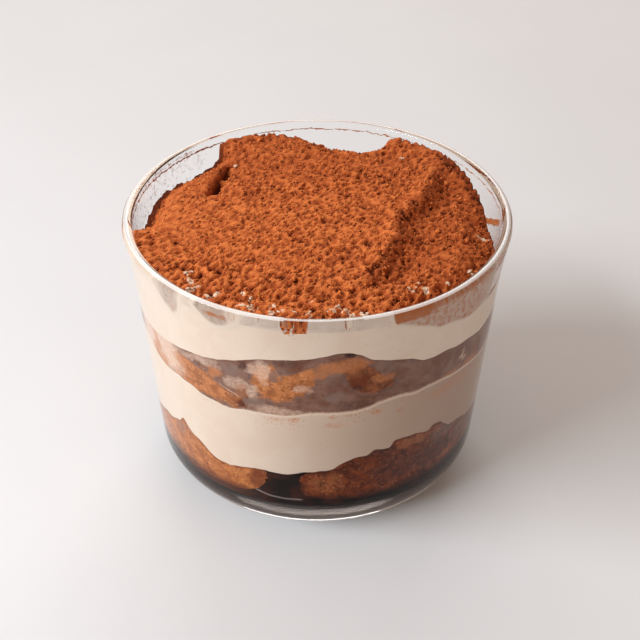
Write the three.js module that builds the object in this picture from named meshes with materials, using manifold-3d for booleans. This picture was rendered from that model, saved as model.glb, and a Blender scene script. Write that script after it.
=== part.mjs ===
// Tiramisu layered in a straight-sided glass dessert cup.
// Millimetres, +Z up, origin at the middle of the foot. Azimuth 0 is the front (-Y) and turns towards +X.
import * as THREE from 'three';
import { mergeVertices } from 'three/addons/utils/BufferGeometryUtils.js';
import Module from 'manifold-3d';

// The cup.
const CUP_HEIGHT = 64.1;
const RIM_RADIUS = 43; // outermost, so the mouth is 86 across
const WALL = 2.2; // measured level, the same from heel to rim
const LEAN = 0.0917; // how far the wall leans out for each millimetre of height
const FLARE = 0.69; // extra lean of the top of the wall
const FLARE_HEIGHT = 12.1;
const HEEL_RADIUS = 9.7; // outer round between wall and foot
const FLOOR_Z = 6; // thickness of the glass base
const FLOOR_FILLET = 6.5;

// The contents.
const GAP = 0.3; // clearance between neighbours
const COCOA_DEPTH = 1.2;
const COCOA_EDGE_DEPTH = 0.7; // the powder thins out against the glass
const COCOA_TOP = 61.5; // level of the dusted top
const COCOA_EDGE = 62; // how high the powder reaches on the glass
const EDGE_WIDTH = 0.2; // share of the radius over which the top runs down to the glass
const FILL_WIDTH = 0.1; // the same for the powder in the cream's notches

// Fineness.
const SEGMENTS = 72;
const SECTION_STEPS = { heel: 6, flare: 3, rim: 6, fillet: 4 };
const RING_STEP = 6; // ring k of the dusted top has 6 k points, so its triangles stay even
const COARSE_RINGS = [[0.42, 12], [0.8, 36], [1, SEGMENTS]]; // [share of the radius, points]
const LUMP = 0.22; // unevenness of the powder
const LUMP_SEED = 7;
const SAME_POINT = 1e-4;
const SETTLING_ROUNDS = 6;

const TURN = 2 * Math.PI;
const RIM_Z = CUP_HEIGHT - WALL / 2; // centre height of the rounded rim
const FOOT_LINE = RIM_RADIUS - FLARE - LEAN * RIM_Z; // outer wall's radius carried down to z = 0

// Hills and dips of the surfaces between the layers: `rise` at x (and y), gone `half` away from it.
// Without y the hill runs through the food from front to back.
const BISCUIT_TOP = {
  level: 19,
  hills: [
    { x: -28, half: 7.5, rise: 3.7 },
    { x: -21, half: 9.4, rise: -1.7 },
    { x: 10.6, half: 13.5, rise: 5.2 },
    { x: 22.9, half: 12.9, rise: 6.8 },
    { x: -10, y: 24, half: 20, rise: 2.4 },
    { x: 23, y: 27, half: 15, rise: -2.6 },
  ],
};
const CREAM_TOP = {
  level: 37.4,
  hills: [
    { x: -37.2, half: 5.3, rise: 4.1 },
    { x: -18.2, half: 11.3, rise: -1.8 },
    { x: 16.4, half: 11.2, rise: 2.3 },
    { x: 26.7, half: 8.2, rise: 1.8 },
    { x: 4, y: 29, half: 21, rise: 1.5 },
    { x: -25, y: 22, half: 16, rise: -1.2 },
  ],
};
const STAINED_TOP = {
  level: 45.4,
  hills: [
    { x: -0.9, half: 35.8, rise: 7.7 },
    { x: 5.8, half: 7.5, rise: 2.1 },
    { x: 21.7, half: 28.9, rise: 0.5 },
    { x: 0, y: 27, half: 22, rise: -2.2 },
    { x: 20, y: 24, half: 18, rise: 2.2 },
  ],
};

// Where the top runs low on the glass: full `depth` within `half` degrees of `at`, gone `soft` further on.
const EDGE_DIPS = [
  { at: -115, half: 23, soft: 7, depth: 5 },
  { at: 165, half: 6, soft: 8, depth: 6.4 },
  { at: -175, half: 4, soft: 12, depth: 2.8 },
  { at: 66, half: 27, soft: 16, depth: 7 },
  { at: 106, half: 6, soft: 14, depth: 4 },
];

// Notches in the cream's edge, the same way, which the powder fills down the glass.
const EDGE_FILLS = [
  { at: -48, half: 4, soft: 5, depth: 4.6 },
  { at: -29, half: 5, soft: 5, depth: 2.6 },
  { at: -6.5, half: 2.5, soft: 4, depth: 1.6 },
];

// The dusted top is level left of a slanted crest and lower to the right of it.
const CREST = { x: 18, slant: 0.38, rise: 0.7, half: 4 };
const BASIN = { drop: 3.4, width: 6.5, frontEnd: -31, fullFrom: -17 };
const GROOVES = [
  { from: [-21.4, 25.3], to: [-22.9, 19.3], half: 3.4, depth: 2.2 },
  { from: [-22.9, 19.3], to: [-24.9, 12.2], half: 3.4, depth: 2.2 },
  { from: [-17, 24.7], to: [-9.7, 22.9], half: 4, depth: 1 },
  { from: [-9.7, 22.9], to: [-2.4, 29.1], half: 4, depth: 1 },
];

// Sponge fingers lie front to back; each has a rounded section of half sizes `wide` and `tall`.
const LOWER_FINGERS = {
  biscuit_lower_left: { x: -26.7, z: 21, wide: 13.3, tall: 10, tilt: 0, colour: '#b0653a' },
  biscuit_lower_right: { x: 18.4, z: 21, wide: 21.6, tall: 10, tilt: 0, colour: '#7d4325' },
};
const UPPER_FINGERS = {
  biscuit_upper_left: { x: -25.8, z: 39.6, wide: 11.2, tall: 5.1, tilt: -8, colour: '#b96f45' },
  biscuit_upper_middle: { x: -6, z: 45, wide: 7.7, tall: 6, tilt: 4, colour: '#c07a50' },
  biscuit_upper_right: { x: 10, z: 46, wide: 6.4, tall: 5, tilt: -18, colour: '#a35c34' },
};
const FINGER_SQUARENESS = 3.2; // power of the section's superellipse; 2 would be an ellipse
const FINGER_SIDES = 28;
const CRUMB = { azimuth: 62, z: 41.6, halfSizes: [2.2, 1.9, 3.1], tilt: 24, detail: 1, colour: '#b5653a' };

// Colours and roughness.
const GLASS = { color: '#e9eeee', roughness: 0.05, transparent: true, opacity: 0.3 };
const COFFEE = { color: '#2b1613', roughness: 0.2 };
const CREAM = { color: '#e6d5c4', roughness: 0.5 };
const STAINED_CREAM = { color: '#8b706b', roughness: 0.5 };
const COCOA = { color: '#b85c30', roughness: 0.95 };
const SPONGE_ROUGHNESS = 0.85;

const wasm = await Module();
wasm.setup();

// ---- small helpers ----

const radians = THREE.MathUtils.degToRad;
const smoothstep = THREE.MathUtils.smoothstep;

/** 1 at the middle, 0 at one unit away, with level ends. */
function bell(distance) {
  return 0.5 + 0.5 * Math.cos(Math.PI * Math.min(1, Math.abs(distance)));
}

/** Repeatable numbers from 0 to 1, by a multiplying generator. */
function seededRandom(seed) {
  const factor = 16807;
  const range = 2147483647;
  let state = seed;
  return () => {
    state = (state * factor) % range;
    return state / range;
  };
}

/** Point of a turned shape, azimuth in radians. */
function turned(radius, azimuth, z) {
  return new THREE.Vector3(radius * Math.sin(azimuth), -radius * Math.cos(azimuth), z);
}

function piece(name, geometry, finish) {
  geometry.computeVertexNormals();
  const mesh = new THREE.Mesh(geometry, new THREE.MeshStandardMaterial({ metalness: 0, ...finish }));
  mesh.name = name;
  return mesh;
}

function toSolid(geometry) {
  const bare = geometry.clone();
  bare.deleteAttribute('normal');
  bare.deleteAttribute('uv');
  const merged = mergeVertices(bare, SAME_POINT);
  return new wasm.Manifold(new wasm.Mesh({
    numProp: 3,
    vertProperties: new Float32Array(merged.attributes.position.array),
    triVerts: new Uint32Array(merged.index.array),
  }));
}

function toGeometry(solid) {
  const { vertProperties, triVerts } = solid.getMesh();
  const geometry = new THREE.BufferGeometry();
  geometry.setAttribute('position', new THREE.BufferAttribute(vertProperties, 3));
  geometry.setIndex(new THREE.BufferAttribute(triVerts, 1));
  return geometry;
}

// ---- the cup's section ----

function outerRadius(z) {
  const flare = Math.max(0, (z - RIM_Z + FLARE_HEIGHT) / FLARE_HEIGHT);
  return FOOT_LINE + LEAN * z + FLARE * flare * flare;
}

/** Centre of an arc that touches the level `floor` and a leaning wall of radius `line` at z = 0. */
function cornerCentre(line, floor, radius) {
  const z = floor + radius;
  const x = line + LEAN * z - radius * Math.hypot(1, LEAN);
  return new THREE.Vector2(x, z);
}

function cornerArc(line, floor, radius, steps) {
  const centre = cornerCentre(line, floor, radius);
  const wallAngle = -Math.atan(LEAN);
  return Array.from({ length: steps + 1 }, (_, i) => {
    const angle = THREE.MathUtils.lerp(-Math.PI / 2, wallAngle, i / steps);
    return new THREE.Vector2(centre.x + radius * Math.cos(angle), centre.y + radius * Math.sin(angle));
  });
}

/** The flared top of the wall below the rim, `inset` from its outside. */
function wallPoints(inset) {
  return Array.from({ length: SECTION_STEPS.flare }, (_, i) => {
    const z = RIM_Z - FLARE_HEIGHT * (1 - i / SECTION_STEPS.flare);
    return new THREE.Vector2(outerRadius(z) - inset, z);
  });
}

function cupProfile() {
  const rimMiddle = RIM_RADIUS - WALL / 2;
  const rim = Array.from({ length: SECTION_STEPS.rim + 1 }, (_, i) => {
    const angle = (Math.PI * i) / SECTION_STEPS.rim;
    return new THREE.Vector2(rimMiddle + (WALL / 2) * Math.cos(angle), RIM_Z + (WALL / 2) * Math.sin(angle));
  });
  return [
    new THREE.Vector2(0, 0),
    ...cornerArc(FOOT_LINE, 0, HEEL_RADIUS, SECTION_STEPS.heel),
    ...wallPoints(0),
    ...rim,
    ...wallPoints(WALL).reverse(),
    ...cornerArc(FOOT_LINE - WALL, FLOOR_Z, FLOOR_FILLET, SECTION_STEPS.fillet).reverse(),
    new THREE.Vector2(0, FLOOR_Z),
  ];
}

function glassCup() {
  const geometry = new THREE.LatheGeometry(cupProfile(), SEGMENTS);
  geometry.rotateX(Math.PI / 2);
  return piece('glass_cup', geometry, GLASS);
}

/** Radius that the contents reach at a height, GAP clear of the glass. */
function contentsRadius(z) {
  const corner = cornerCentre(FOOT_LINE - WALL, FLOOR_Z, FLOOR_FILLET);
  const wall = outerRadius(z) - WALL - GAP;
  if (z >= corner.y) return wall;
  const radius = FLOOR_FILLET - GAP;
  const drop = Math.min(radius, corner.y - z);
  return Math.min(wall, corner.x + Math.sqrt(radius ** 2 - drop ** 2));
}

// ---- the surfaces between the layers ----

/** Height function of a hilly surface, moved up by `lift`. */
function hilly(surface, lift) {
  return (x, y) => surface.hills.reduce((height, hill) => {
    const away = hill.y === undefined ? x - hill.x : Math.hypot(x - hill.x, y - hill.y);
    return height + hill.rise * bell(away / hill.half);
  }, surface.level + lift);
}

/** The deepest of some dips of the edge at x and y. */
function edgeDip(dips, x, y) {
  const azimuth = Math.atan2(x, -y);
  return dips.reduce((depth, dip) => {
    const turn = azimuth - radians(dip.at);
    const away = Math.abs(THREE.MathUtils.radToDeg(Math.atan2(Math.sin(turn), Math.cos(turn))));
    return Math.max(depth, dip.depth * bell(Math.max(0, away - dip.half) / dip.soft));
  }, 0);
}

function distanceToLine(x, y, from, to) {
  const line = new THREE.Line3(new THREE.Vector3(...from, 0), new THREE.Vector3(...to, 0));
  const point = new THREE.Vector3(x, y, 0);
  return line.closestPointToPoint(point, true, new THREE.Vector3()).distanceTo(point);
}

/** Level top, the crest with the basin to its right, and the grooves. */
function middleHeight(x, y) {
  const right = x - CREST.x - CREST.slant * y;
  const reach = smoothstep(y, BASIN.frontEnd, BASIN.fullFrom);
  const basin = BASIN.drop * reach * smoothstep(right, 0, BASIN.width);
  const crest = CREST.rise * reach * bell(right / CREST.half);
  const groove = GROOVES.reduce((depth, line) => {
    const away = distanceToLine(x, y, line.from, line.to);
    return Math.max(depth, line.depth * bell(away / line.half));
  }, 0);
  return COCOA_TOP + crest - basin - groove;
}

function dustedTop(x, y, share) {
  const edge = smoothstep(share, 1 - EDGE_WIDTH, 1);
  const edgeHeight = COCOA_EDGE - edgeDip(EDGE_DIPS, x, y);
  return THREE.MathUtils.lerp(middleHeight(x, y), edgeHeight, edge);
}

/** The powder's underside, moved down by `clearance`. */
function dustedUnderside(clearance) {
  return (x, y, share) => {
    const edge = smoothstep(share, 1 - EDGE_WIDTH, 1);
    const fill = edgeDip(EDGE_FILLS, x, y) * smoothstep(share, 1 - FILL_WIDTH, 1);
    const depth = THREE.MathUtils.lerp(COCOA_DEPTH, COCOA_EDGE_DEPTH, edge);
    return dustedTop(x, y, share) - depth - fill - clearance;
  };
}

// ---- layers that fill the cup from wall to wall ----

/** The dusted top's rings as [share of the radius, points]. */
function fineRings() {
  const count = SEGMENTS / RING_STEP;
  return Array.from({ length: count }, (_, i) => [(i + 1) / count, RING_STEP * (i + 1)]);
}

/** Points {azimuth, share} and upward triangles of a disc. Point 0 is the middle. */
function discNet(rings) {
  const points = [{ azimuth: 0, share: 0 }];
  const faces = [];
  let inner = { start: 0, count: 1 };
  rings.forEach(([share, count]) => {
    const outer = { start: points.length, count };
    for (let i = 0; i < count; i++) points.push({ azimuth: (i / count) * TURN, share });
    stitch(faces, inner, outer);
    inner = outer;
  });
  return { points, faces, rim: inner };
}

/** Joins two rings of a net, always taking the point that comes next round the turn. */
function stitch(faces, inner, outer) {
  const at = (ring, i) => ring.start + (i % ring.count);
  let i = 0;
  let o = 0;
  while (i < inner.count || o < outer.count) {
    const outward = i === inner.count || (o < outer.count && (o + 1) * inner.count <= (i + 1) * outer.count);
    if (outward) {
      faces.push([at(outer, o), at(outer, o + 1), at(inner, i)]);
      o += 1;
    } else {
      if (inner.count > 1) faces.push([at(inner, i), at(outer, o), at(inner, i + 1)]);
      i += 1;
    }
  }
}

/** Point of a surface; on the wall its height and its radius settle on each other. */
function surfacePoint(surface, { azimuth, share }) {
  const point = turned(share * contentsRadius(COCOA_TOP), azimuth, COCOA_TOP);
  for (let round = 0; round < SETTLING_ROUNDS; round++) {
    point.z = surface(point.x, point.y, share);
    point.copy(turned(share * contentsRadius(point.z), azimuth, point.z));
  }
  return point;
}

/** Ring on the wall part of the way from the bottom's ring to the top's. */
function wallRing(bottom, top, part) {
  return bottom.map((low, i) => {
    const z = THREE.MathUtils.lerp(low.z, top[i].z, part);
    return turned(contentsRadius(z), (i / SEGMENTS) * TURN, z);
  });
}

/** Closed solid between two surfaces, following the glass; `waist` are its extra rings on the wall. */
function layer(bottom, top, waist = []) {
  const low = bottom.net.points.map((point) => surfacePoint(bottom.surface, point));
  const high = top.net.points.map((point) => surfacePoint(top.surface, point));
  const lowRim = low.slice(bottom.net.rim.start);
  const highRim = high.slice(top.net.rim.start);
  const vertices = [...low];
  const faces = bottom.net.faces.map(([a, b, c]) => [a, c, b]);
  let ring = bottom.net.rim.start;
  const sideTo = (next) => {
    for (let i = 0; i < SEGMENTS; i++) {
      const j = (i + 1) % SEGMENTS;
      faces.push([ring + i, ring + j, next + j], [ring + i, next + j, next + i]);
    }
    ring = next;
  };
  waist.forEach((part) => {
    const next = vertices.length;
    vertices.push(...wallRing(lowRim, highRim, part));
    sideTo(next);
  });
  const highStart = vertices.length;
  vertices.push(...high);
  sideTo(highStart + top.net.rim.start);
  faces.push(...top.net.faces.map((face) => face.map((index) => index + highStart)));
  const geometry = new THREE.BufferGeometry().setFromPoints(vertices);
  geometry.setIndex(faces.flat());
  return geometry;
}

// ---- sponge fingers ----

/** A finger from front to back, larger by `grow` all round. */
function fingerBar({ x, z, wide, tall, tilt }, grow) {
  const outline = Array.from({ length: FINGER_SIDES }, (_, i) => {
    const angle = (i / FINGER_SIDES) * TURN;
    const round = (value) => Math.sign(value) * Math.abs(value) ** (2 / FINGER_SQUARENESS);
    return new THREE.Vector2(
      (wide + grow) * round(Math.cos(angle)),
      (tall + grow) * round(Math.sin(angle)),
    );
  });
  const length = 2 * RIM_RADIUS;
  const bar = new THREE.ExtrudeGeometry(new THREE.Shape(outline), { depth: length, bevelEnabled: false });
  bar.rotateX(Math.PI / 2);
  bar.translate(0, length / 2, 0);
  bar.rotateY(radians(-tilt));
  bar.translate(x, 0, z);
  return toSolid(bar);
}

/** The loose bit of sponge in the stained band, larger by `grow`. */
function crumbSolid(grow) {
  const [wide, deep, tall] = CRUMB.halfSizes;
  const azimuth = radians(CRUMB.azimuth);
  const middle = turned(contentsRadius(CRUMB.z) - deep / 2, azimuth, CRUMB.z);
  const crumb = new THREE.IcosahedronGeometry(1, CRUMB.detail);
  crumb.scale(wide + grow, deep + grow, tall + grow);
  crumb.rotateY(radians(CRUMB.tilt));
  crumb.rotateZ(azimuth);
  crumb.translate(middle.x, middle.y, middle.z);
  return toSolid(crumb);
}

/** Cuts the fingers out of a band: returns their meshes and what is left of the band. */
function bedFingers(band, fingers) {
  const meshes = Object.entries(fingers).map(([name, finger]) => {
    const solid = band.intersect(fingerBar(finger, 0));
    return piece(name, toGeometry(solid), { color: finger.colour, roughness: SPONGE_ROUGHNESS });
  });
  const rest = Object.values(fingers).reduce((left, finger) => left.subtract(fingerBar(finger, GAP)), band);
  return { meshes, rest };
}

// ---- the contents, from the bottom up ----

const FILLET_WAIST = [0.07, 0.18, 0.32, 0.5]; // extra rings where the wall turns into the floor
const FLARE_WAIST = [0.4, 0.75]; // extra rings where it flares
const COARSE = discNet(COARSE_RINGS);
const FINE = discNet(fineRings());

/** The coffee on the cup's floor with the lower fingers bedded in it. */
function lowerBand() {
  const floor = { net: COARSE, surface: () => FLOOR_Z + GAP };
  const top = { net: COARSE, surface: hilly(BISCUIT_TOP, 0) };
  const band = toSolid(layer(floor, top, FILLET_WAIST));
  const { meshes, rest } = bedFingers(band, LOWER_FINGERS);
  return [...meshes, piece('coffee_syrup', toGeometry(rest), COFFEE)];
}

function lowerCream() {
  const bottom = { net: COARSE, surface: hilly(BISCUIT_TOP, GAP) };
  const top = { net: COARSE, surface: hilly(CREAM_TOP, 0) };
  return piece('cream_lower', layer(bottom, top), CREAM);
}

/** The coffee-stained cream with the upper fingers and the loose bit bedded in it. */
function upperBand() {
  const bottom = { net: COARSE, surface: hilly(CREAM_TOP, GAP) };
  const top = { net: COARSE, surface: hilly(STAINED_TOP, 0) };
  const band = toSolid(layer(bottom, top));
  const { meshes, rest } = bedFingers(band, UPPER_FINGERS);
  const crumb = toGeometry(band.intersect(crumbSolid(0)));
  const stained = toGeometry(rest.subtract(crumbSolid(GAP)));
  return [
    ...meshes,
    piece('biscuit_crumb', crumb, { color: CRUMB.colour, roughness: SPONGE_ROUGHNESS }),
    piece('stained_cream', stained, STAINED_CREAM),
  ];
}

function upperCream() {
  const bottom = { net: COARSE, surface: hilly(STAINED_TOP, GAP) };
  const top = { net: FINE, surface: dustedUnderside(GAP) };
  return piece('cream_upper', layer(bottom, top, FLARE_WAIST), CREAM);
}

function cocoaPowder() {
  const bottom = { net: FINE, surface: dustedUnderside(0) };
  const top = { net: FINE, surface: dustedTop };
  const geometry = layer(bottom, top);
  const random = seededRandom(LUMP_SEED);
  const position = geometry.attributes.position;
  const topStart = FINE.points.length;
  const topEdge = position.count - SEGMENTS;
  for (let i = topStart; i < topEdge; i++) {
    position.setZ(i, position.getZ(i) + LUMP * (2 * random() - 1));
  }
  return piece('cocoa_powder', geometry, COCOA);
}

const group = new THREE.Group();
group.add(glassCup(), ...lowerBand(), lowerCream(), ...upperBand(), upperCream(), cocoaPowder());
export default group;
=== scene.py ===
"""The looks of a tiramisu in its glass cup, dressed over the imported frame.

Lengths are in millimetres until a mesh is written, which is in metres. Azimuths are in degrees
round the cup: 0 is the front (-Y), 90 is +X and 180 is the back.
"""

import logging
import math
from collections.abc import Callable, Iterator, Sequence
from contextlib import contextmanager
from dataclasses import dataclass, replace
from enum import Enum
from typing import Any

import bpy
import numpy as np
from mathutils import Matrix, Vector


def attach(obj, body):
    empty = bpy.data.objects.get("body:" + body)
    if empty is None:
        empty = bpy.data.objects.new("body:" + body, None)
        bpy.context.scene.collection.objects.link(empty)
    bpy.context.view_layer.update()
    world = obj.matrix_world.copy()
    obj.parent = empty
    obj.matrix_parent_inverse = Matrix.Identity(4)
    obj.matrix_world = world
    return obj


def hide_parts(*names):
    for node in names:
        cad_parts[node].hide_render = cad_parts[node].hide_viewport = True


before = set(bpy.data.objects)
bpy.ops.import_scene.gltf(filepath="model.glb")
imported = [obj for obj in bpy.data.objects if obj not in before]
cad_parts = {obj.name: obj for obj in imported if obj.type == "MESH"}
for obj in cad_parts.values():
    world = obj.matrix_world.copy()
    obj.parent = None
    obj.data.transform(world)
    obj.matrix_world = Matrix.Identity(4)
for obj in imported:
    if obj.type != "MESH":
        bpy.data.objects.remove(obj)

log = logging.getLogger("tiramisu")
Floats = np.ndarray
Colour = tuple[float, float, float]
Tree = bpy.types.NodeTree
Piece = bpy.types.Object

MM = 0.001
BODY = "root"
WALL_ARC = 39  # millimetres of wall in one radian of azimuth, near enough
FACE_RADIUS = 38  # radius at which the unevenness of food against the glass is taken


# ---- small sums ----


def smooth(low: float, high: float, value: Floats) -> Floats:
    """0 below low, 1 above high, with level ends between them."""
    share = np.clip((np.asarray(value, float) - low) / (high - low), 0, 1)
    return share * share * (3 - 2 * share)


def bell(distance: Floats) -> Floats:
    """1 at the middle, 0 at one unit away, with level ends."""
    return 0.5 + 0.5 * np.cos(np.pi * np.minimum(1, np.abs(distance)))


def mix(a: Floats, b: Floats, share: Floats) -> Floats:
    """A blend from a at share 0 to b at share 1."""
    return a + (b - a) * share


def turn_between(azimuth: Floats, at: float) -> Floats:
    """Degrees from `at` to each azimuth, from -180 to 180."""
    return (np.asarray(azimuth, float) - at + 180) % 360 - 180


def distance_to_path(x: Floats, y: Floats, path: Sequence[tuple[float, float]]) -> Floats:
    """Shortest distance from points to a path of straight stretches.

    Args:
        x: places along X.
        y: places along Y.
        path: the corners of the path.

    Returns:
        One distance for each point.
    """
    nearest = np.full(np.shape(x), np.inf)
    for (x0, y0), (x1, y1) in zip(path, path[1:]):
        dx, dy = x1 - x0, y1 - y0
        along = np.clip(((x - x0) * dx + (y - y0) * dy) / (dx * dx + dy * dy), 0, 1)
        nearest = np.minimum(nearest, np.hypot(x - x0 - along * dx, y - y0 - along * dy))
    return nearest


class Roughcast:
    """Repeatable unevenness of crumbly and spread stuff, the same at the same place each time."""

    def __init__(self, seed: int) -> None:
        """Draws the table of slopes.

        Args:
            seed: which table.
        """
        draw = np.random.default_rng(seed)
        slopes = draw.normal(size=(256, 3))
        self.slopes = slopes / np.linalg.norm(slopes, axis=1)[:, None]
        self.order = draw.permutation(256)
        self.jitter = draw.random((256, 2))

    def _pick(self, cell: Floats) -> Floats:
        """Table row of each whole-numbered cell."""
        row = self.order[cell[:, 0] & 255]
        for axis in range(1, cell.shape[1]):
            row = self.order[(row + cell[:, axis]) & 255]
        return row

    def waves(self, points: Floats, size: float) -> Floats:
        """Soft hills and dips.

        Args:
            points: places, three numbers each.
            size: distance from one hill to the next.

        Returns:
            Heights from about -1 to 1.
        """
        place = points / size
        cell = np.floor(place).astype(int)
        part = place - cell
        weight = part**3 * (part * (part * 6 - 15) + 10)
        total = np.zeros(len(points))
        for corner in np.ndindex(2, 2, 2):
            step = np.array(corner)
            slope = self.slopes[self._pick(cell + step)]
            share = np.prod(np.where(step, weight, 1 - weight), axis=1)
            total += share * np.sum(slope * (part - step), axis=1)
        return total * 1.6

    def cells(self, x: Floats, y: Floats, size: float) -> tuple[Floats, Floats, Floats]:
        """Distances to scattered centres, which make crumbs, pits and cracks.

        Args:
            x: places along X.
            y: places along Y.
            size: usual distance between centres.

        Returns:
            Distance to the nearest and to the second nearest centre, in shares of size, and a number from
            0 to 1 that the nearest centre has drawn.
        """
        place = np.stack([x, y], 1) / size
        cell = np.floor(place).astype(int)
        first = np.full(len(place), 9.0)
        second = first.copy()
        draw = np.zeros(len(place))
        for step in np.ndindex(3, 3):
            near = cell + np.array(step) - 1
            at = self._pick(near)
            away = np.hypot(*(place - near - self.jitter[at]).T)
            draw = np.where(away < first, (at * 37 % 256) / 255, draw)
            second = np.minimum(second, np.maximum(first, away))
            first = np.minimum(first, away)
        return first, second, draw


# ---- work at the bench ----


def take(piece: Piece) -> None:
    """Makes one piece the only one selected and active."""
    bpy.ops.object.select_all(action="DESELECT")
    piece.select_set(True)
    bpy.context.view_layer.objects.active = piece


@contextmanager
def editing(piece: Piece, chosen: Floats | None = None) -> Iterator[None]:
    """Edit mode on one piece, in which the chosen points are selected.

    Args:
        piece: the mesh to work on.
        chosen: a mask over its points, or all of them without it.

    Yields:
        Nothing.
    """
    take(piece)
    bpy.ops.object.mode_set(mode="EDIT")
    bpy.ops.mesh.select_mode(type="VERT")
    bpy.ops.mesh.select_all(action="SELECT" if chosen is None else "DESELECT")
    if chosen is not None:
        bpy.ops.object.mode_set(mode="OBJECT")
        piece.data.vertices.foreach_set("select", np.asarray(chosen, bool))
        bpy.ops.object.mode_set(mode="EDIT")
    yield
    bpy.ops.object.mode_set(mode="OBJECT")


def points_of(piece: Piece, unit: float = MM) -> Floats:
    """A piece's points.

    Args:
        piece: the mesh to read.
        unit: metres in one of the numbers that come back.

    Returns:
        One row of three numbers for each point.
    """
    flat = np.zeros(len(piece.data.vertices) * 3, np.float32)
    piece.data.vertices.foreach_get("co", flat)
    return flat.reshape(-1, 3).astype(float) / unit


def move_points(piece: Piece, points: Floats, unit: float = MM) -> None:
    """Moves a piece's points to new places, given in `unit` metres."""
    piece.data.vertices.foreach_set("co", (points * unit).astype(np.float32).ravel())
    piece.data.update()


def note(piece: Piece, name: str, values: Floats) -> None:
    """Keeps a number for each point under a name that materials read."""
    layer = piece.data.attributes.new(name, "FLOAT", "POINT")
    layer.data.foreach_set("value", np.asarray(values, np.float32))


def apply_modifier(piece: Piece, kind: str, **settings: Any) -> None:
    """Adds one modifier with its settings and applies it at once."""
    take(piece)
    modifier = piece.modifiers.new(kind.lower(), kind)
    for key, value in settings.items():
        setattr(modifier, key, value)
    bpy.ops.object.modifier_apply(modifier=modifier.name)


def face_outwards(piece: Piece) -> None:
    """Closes doubled points and turns every face outwards."""
    with editing(piece):
        bpy.ops.mesh.remove_doubles(threshold=1e-7)
        bpy.ops.mesh.normals_make_consistent(inside=False)


def hand_over(
    piece: Piece,
    name: str,
    material: bpy.types.Material,
    stands_for: Sequence[str] = (),
    sharpest: float = 40,
) -> None:
    """Names, smooths and dresses a finished piece and puts it on the frame.

    Args:
        piece: the finished mesh.
        name: the piece's own name.
        material: its finish.
        stands_for: the solids that it takes the place of.
        sharpest: edges that turn by more degrees than this stay sharp.
    """
    piece.name = piece.data.name = name
    piece.data.materials.clear()
    piece.data.materials.append(material)
    take(piece)
    bpy.ops.object.shade_smooth_by_angle(angle=math.radians(sharpest))
    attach(piece, BODY)
    if stands_for:
        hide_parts(*stands_for)
    log.info("%s: %d faces", name, len(piece.data.polygons))


def turns_about(axis: int, angles: Floats) -> Floats:
    """Turning matrices about one axis.

    Args:
        axis: 0, 1 or 2 for X, Y or Z.
        angles: how far each matrix turns, in radians.

    Returns:
        One matrix of three by three for each angle.
    """
    a, b = (axis + 1) % 3, (axis + 2) % 3
    turns = np.zeros((len(angles), 3, 3))
    turns[:, axis, axis] = 1
    turns[:, a, a] = turns[:, b, b] = np.cos(angles)
    turns[:, b, a] = np.sin(angles)
    turns[:, a, b] = -turns[:, b, a]
    return turns


def scatter(seed_piece: Piece, places: Floats, sizes: Floats, seed: int, tumble: float) -> None:
    """Repeats a small piece, each copy with its own place, size and turn.

    Args:
        seed_piece: the piece to repeat, about one millimetre across, at the origin.
        places: where the copies go, one row each.
        sizes: three sizes for each copy, along its own axes.
        seed: which turns are drawn.
        tumble: 0 for copies that lie level, 1 for copies turned every way.
    """
    shape = points_of(seed_piece)
    apply_modifier(
        seed_piece,
        "ARRAY",
        fit_type="FIXED_COUNT",
        count=len(places),
        use_relative_offset=False,
        use_constant_offset=False,
    )
    draw = np.random.default_rng(seed)
    spin, tilt, lie = draw.uniform(-math.pi, math.pi, (3, len(places)))
    turns = turns_about(2, lie) @ turns_about(0, tumble * tilt) @ turns_about(2, spin * tumble)
    spread = shape[None] * sizes[:, None]
    placed = np.einsum("nij,nkj->nki", turns, spread) + places[:, None]
    move_points(seed_piece, placed.reshape(-1, 3))


# ---- the forms that cup and food share ----


@dataclass(frozen=True)
class CupForm:
    """The turned form of the glass."""

    height: float = 64.1
    rim_radius: float = 43.0
    wall: float = 2.2
    lean: float = 0.0917
    flare: float = 0.69
    flare_height: float = 12.1
    heel_radius: float = 9.7
    floor: float = 6.0
    fillet: float = 6.5

    @property
    def rim_z(self) -> float:
        """Height of the middle of the rounded rim."""
        return self.height - self.wall / 2

    @property
    def foot_line(self) -> float:
        """Radius of the outer wall carried down to the foot."""
        return self.rim_radius - self.flare - self.lean * self.rim_z

    def outer(self, z: Floats) -> Floats:
        """Radius of the outside of the wall at a height."""
        flare = np.maximum(0, (np.asarray(z, float) - self.rim_z + self.flare_height) / self.flare_height)
        return self.foot_line + self.lean * z + self.flare * flare**2

    def corner(self, line: float, floor: float, radius: float) -> tuple[float, float]:
        """Centre of an arc that touches a level floor and the leaning wall.

        Args:
            line: the wall's radius carried down to the foot.
            floor: the level that the arc touches.
            radius: the arc's radius.

        Returns:
            The centre's radius and height.
        """
        z = floor + radius
        return line + self.lean * z - radius * math.hypot(1, self.lean), z

    def inner(self, z: Floats, sunk: float = 0.0) -> Floats:
        """Radius of the inside of the wall at a height.

        Args:
            z: heights.
            sunk: how far past the glass's surface, for what touches it.

        Returns:
            One radius for each height.
        """
        r, corner_z = self.corner(self.foot_line - self.wall, self.floor, self.fillet)
        reach = self.fillet + sunk
        drop = np.clip(corner_z - np.asarray(z, float), 0, reach)
        fillet = r + np.sqrt(reach**2 - drop**2)
        return np.where(drop > 0, np.minimum(fillet, self.outer(z)), self.outer(z) - self.wall + sunk)


CUP = CupForm()


@dataclass(frozen=True)
class Hill:
    """A hill or dip of a layer's surface, gone `half` away; without y it runs from front to back."""

    x: float
    half: float
    rise: float
    y: float | None = None


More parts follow.
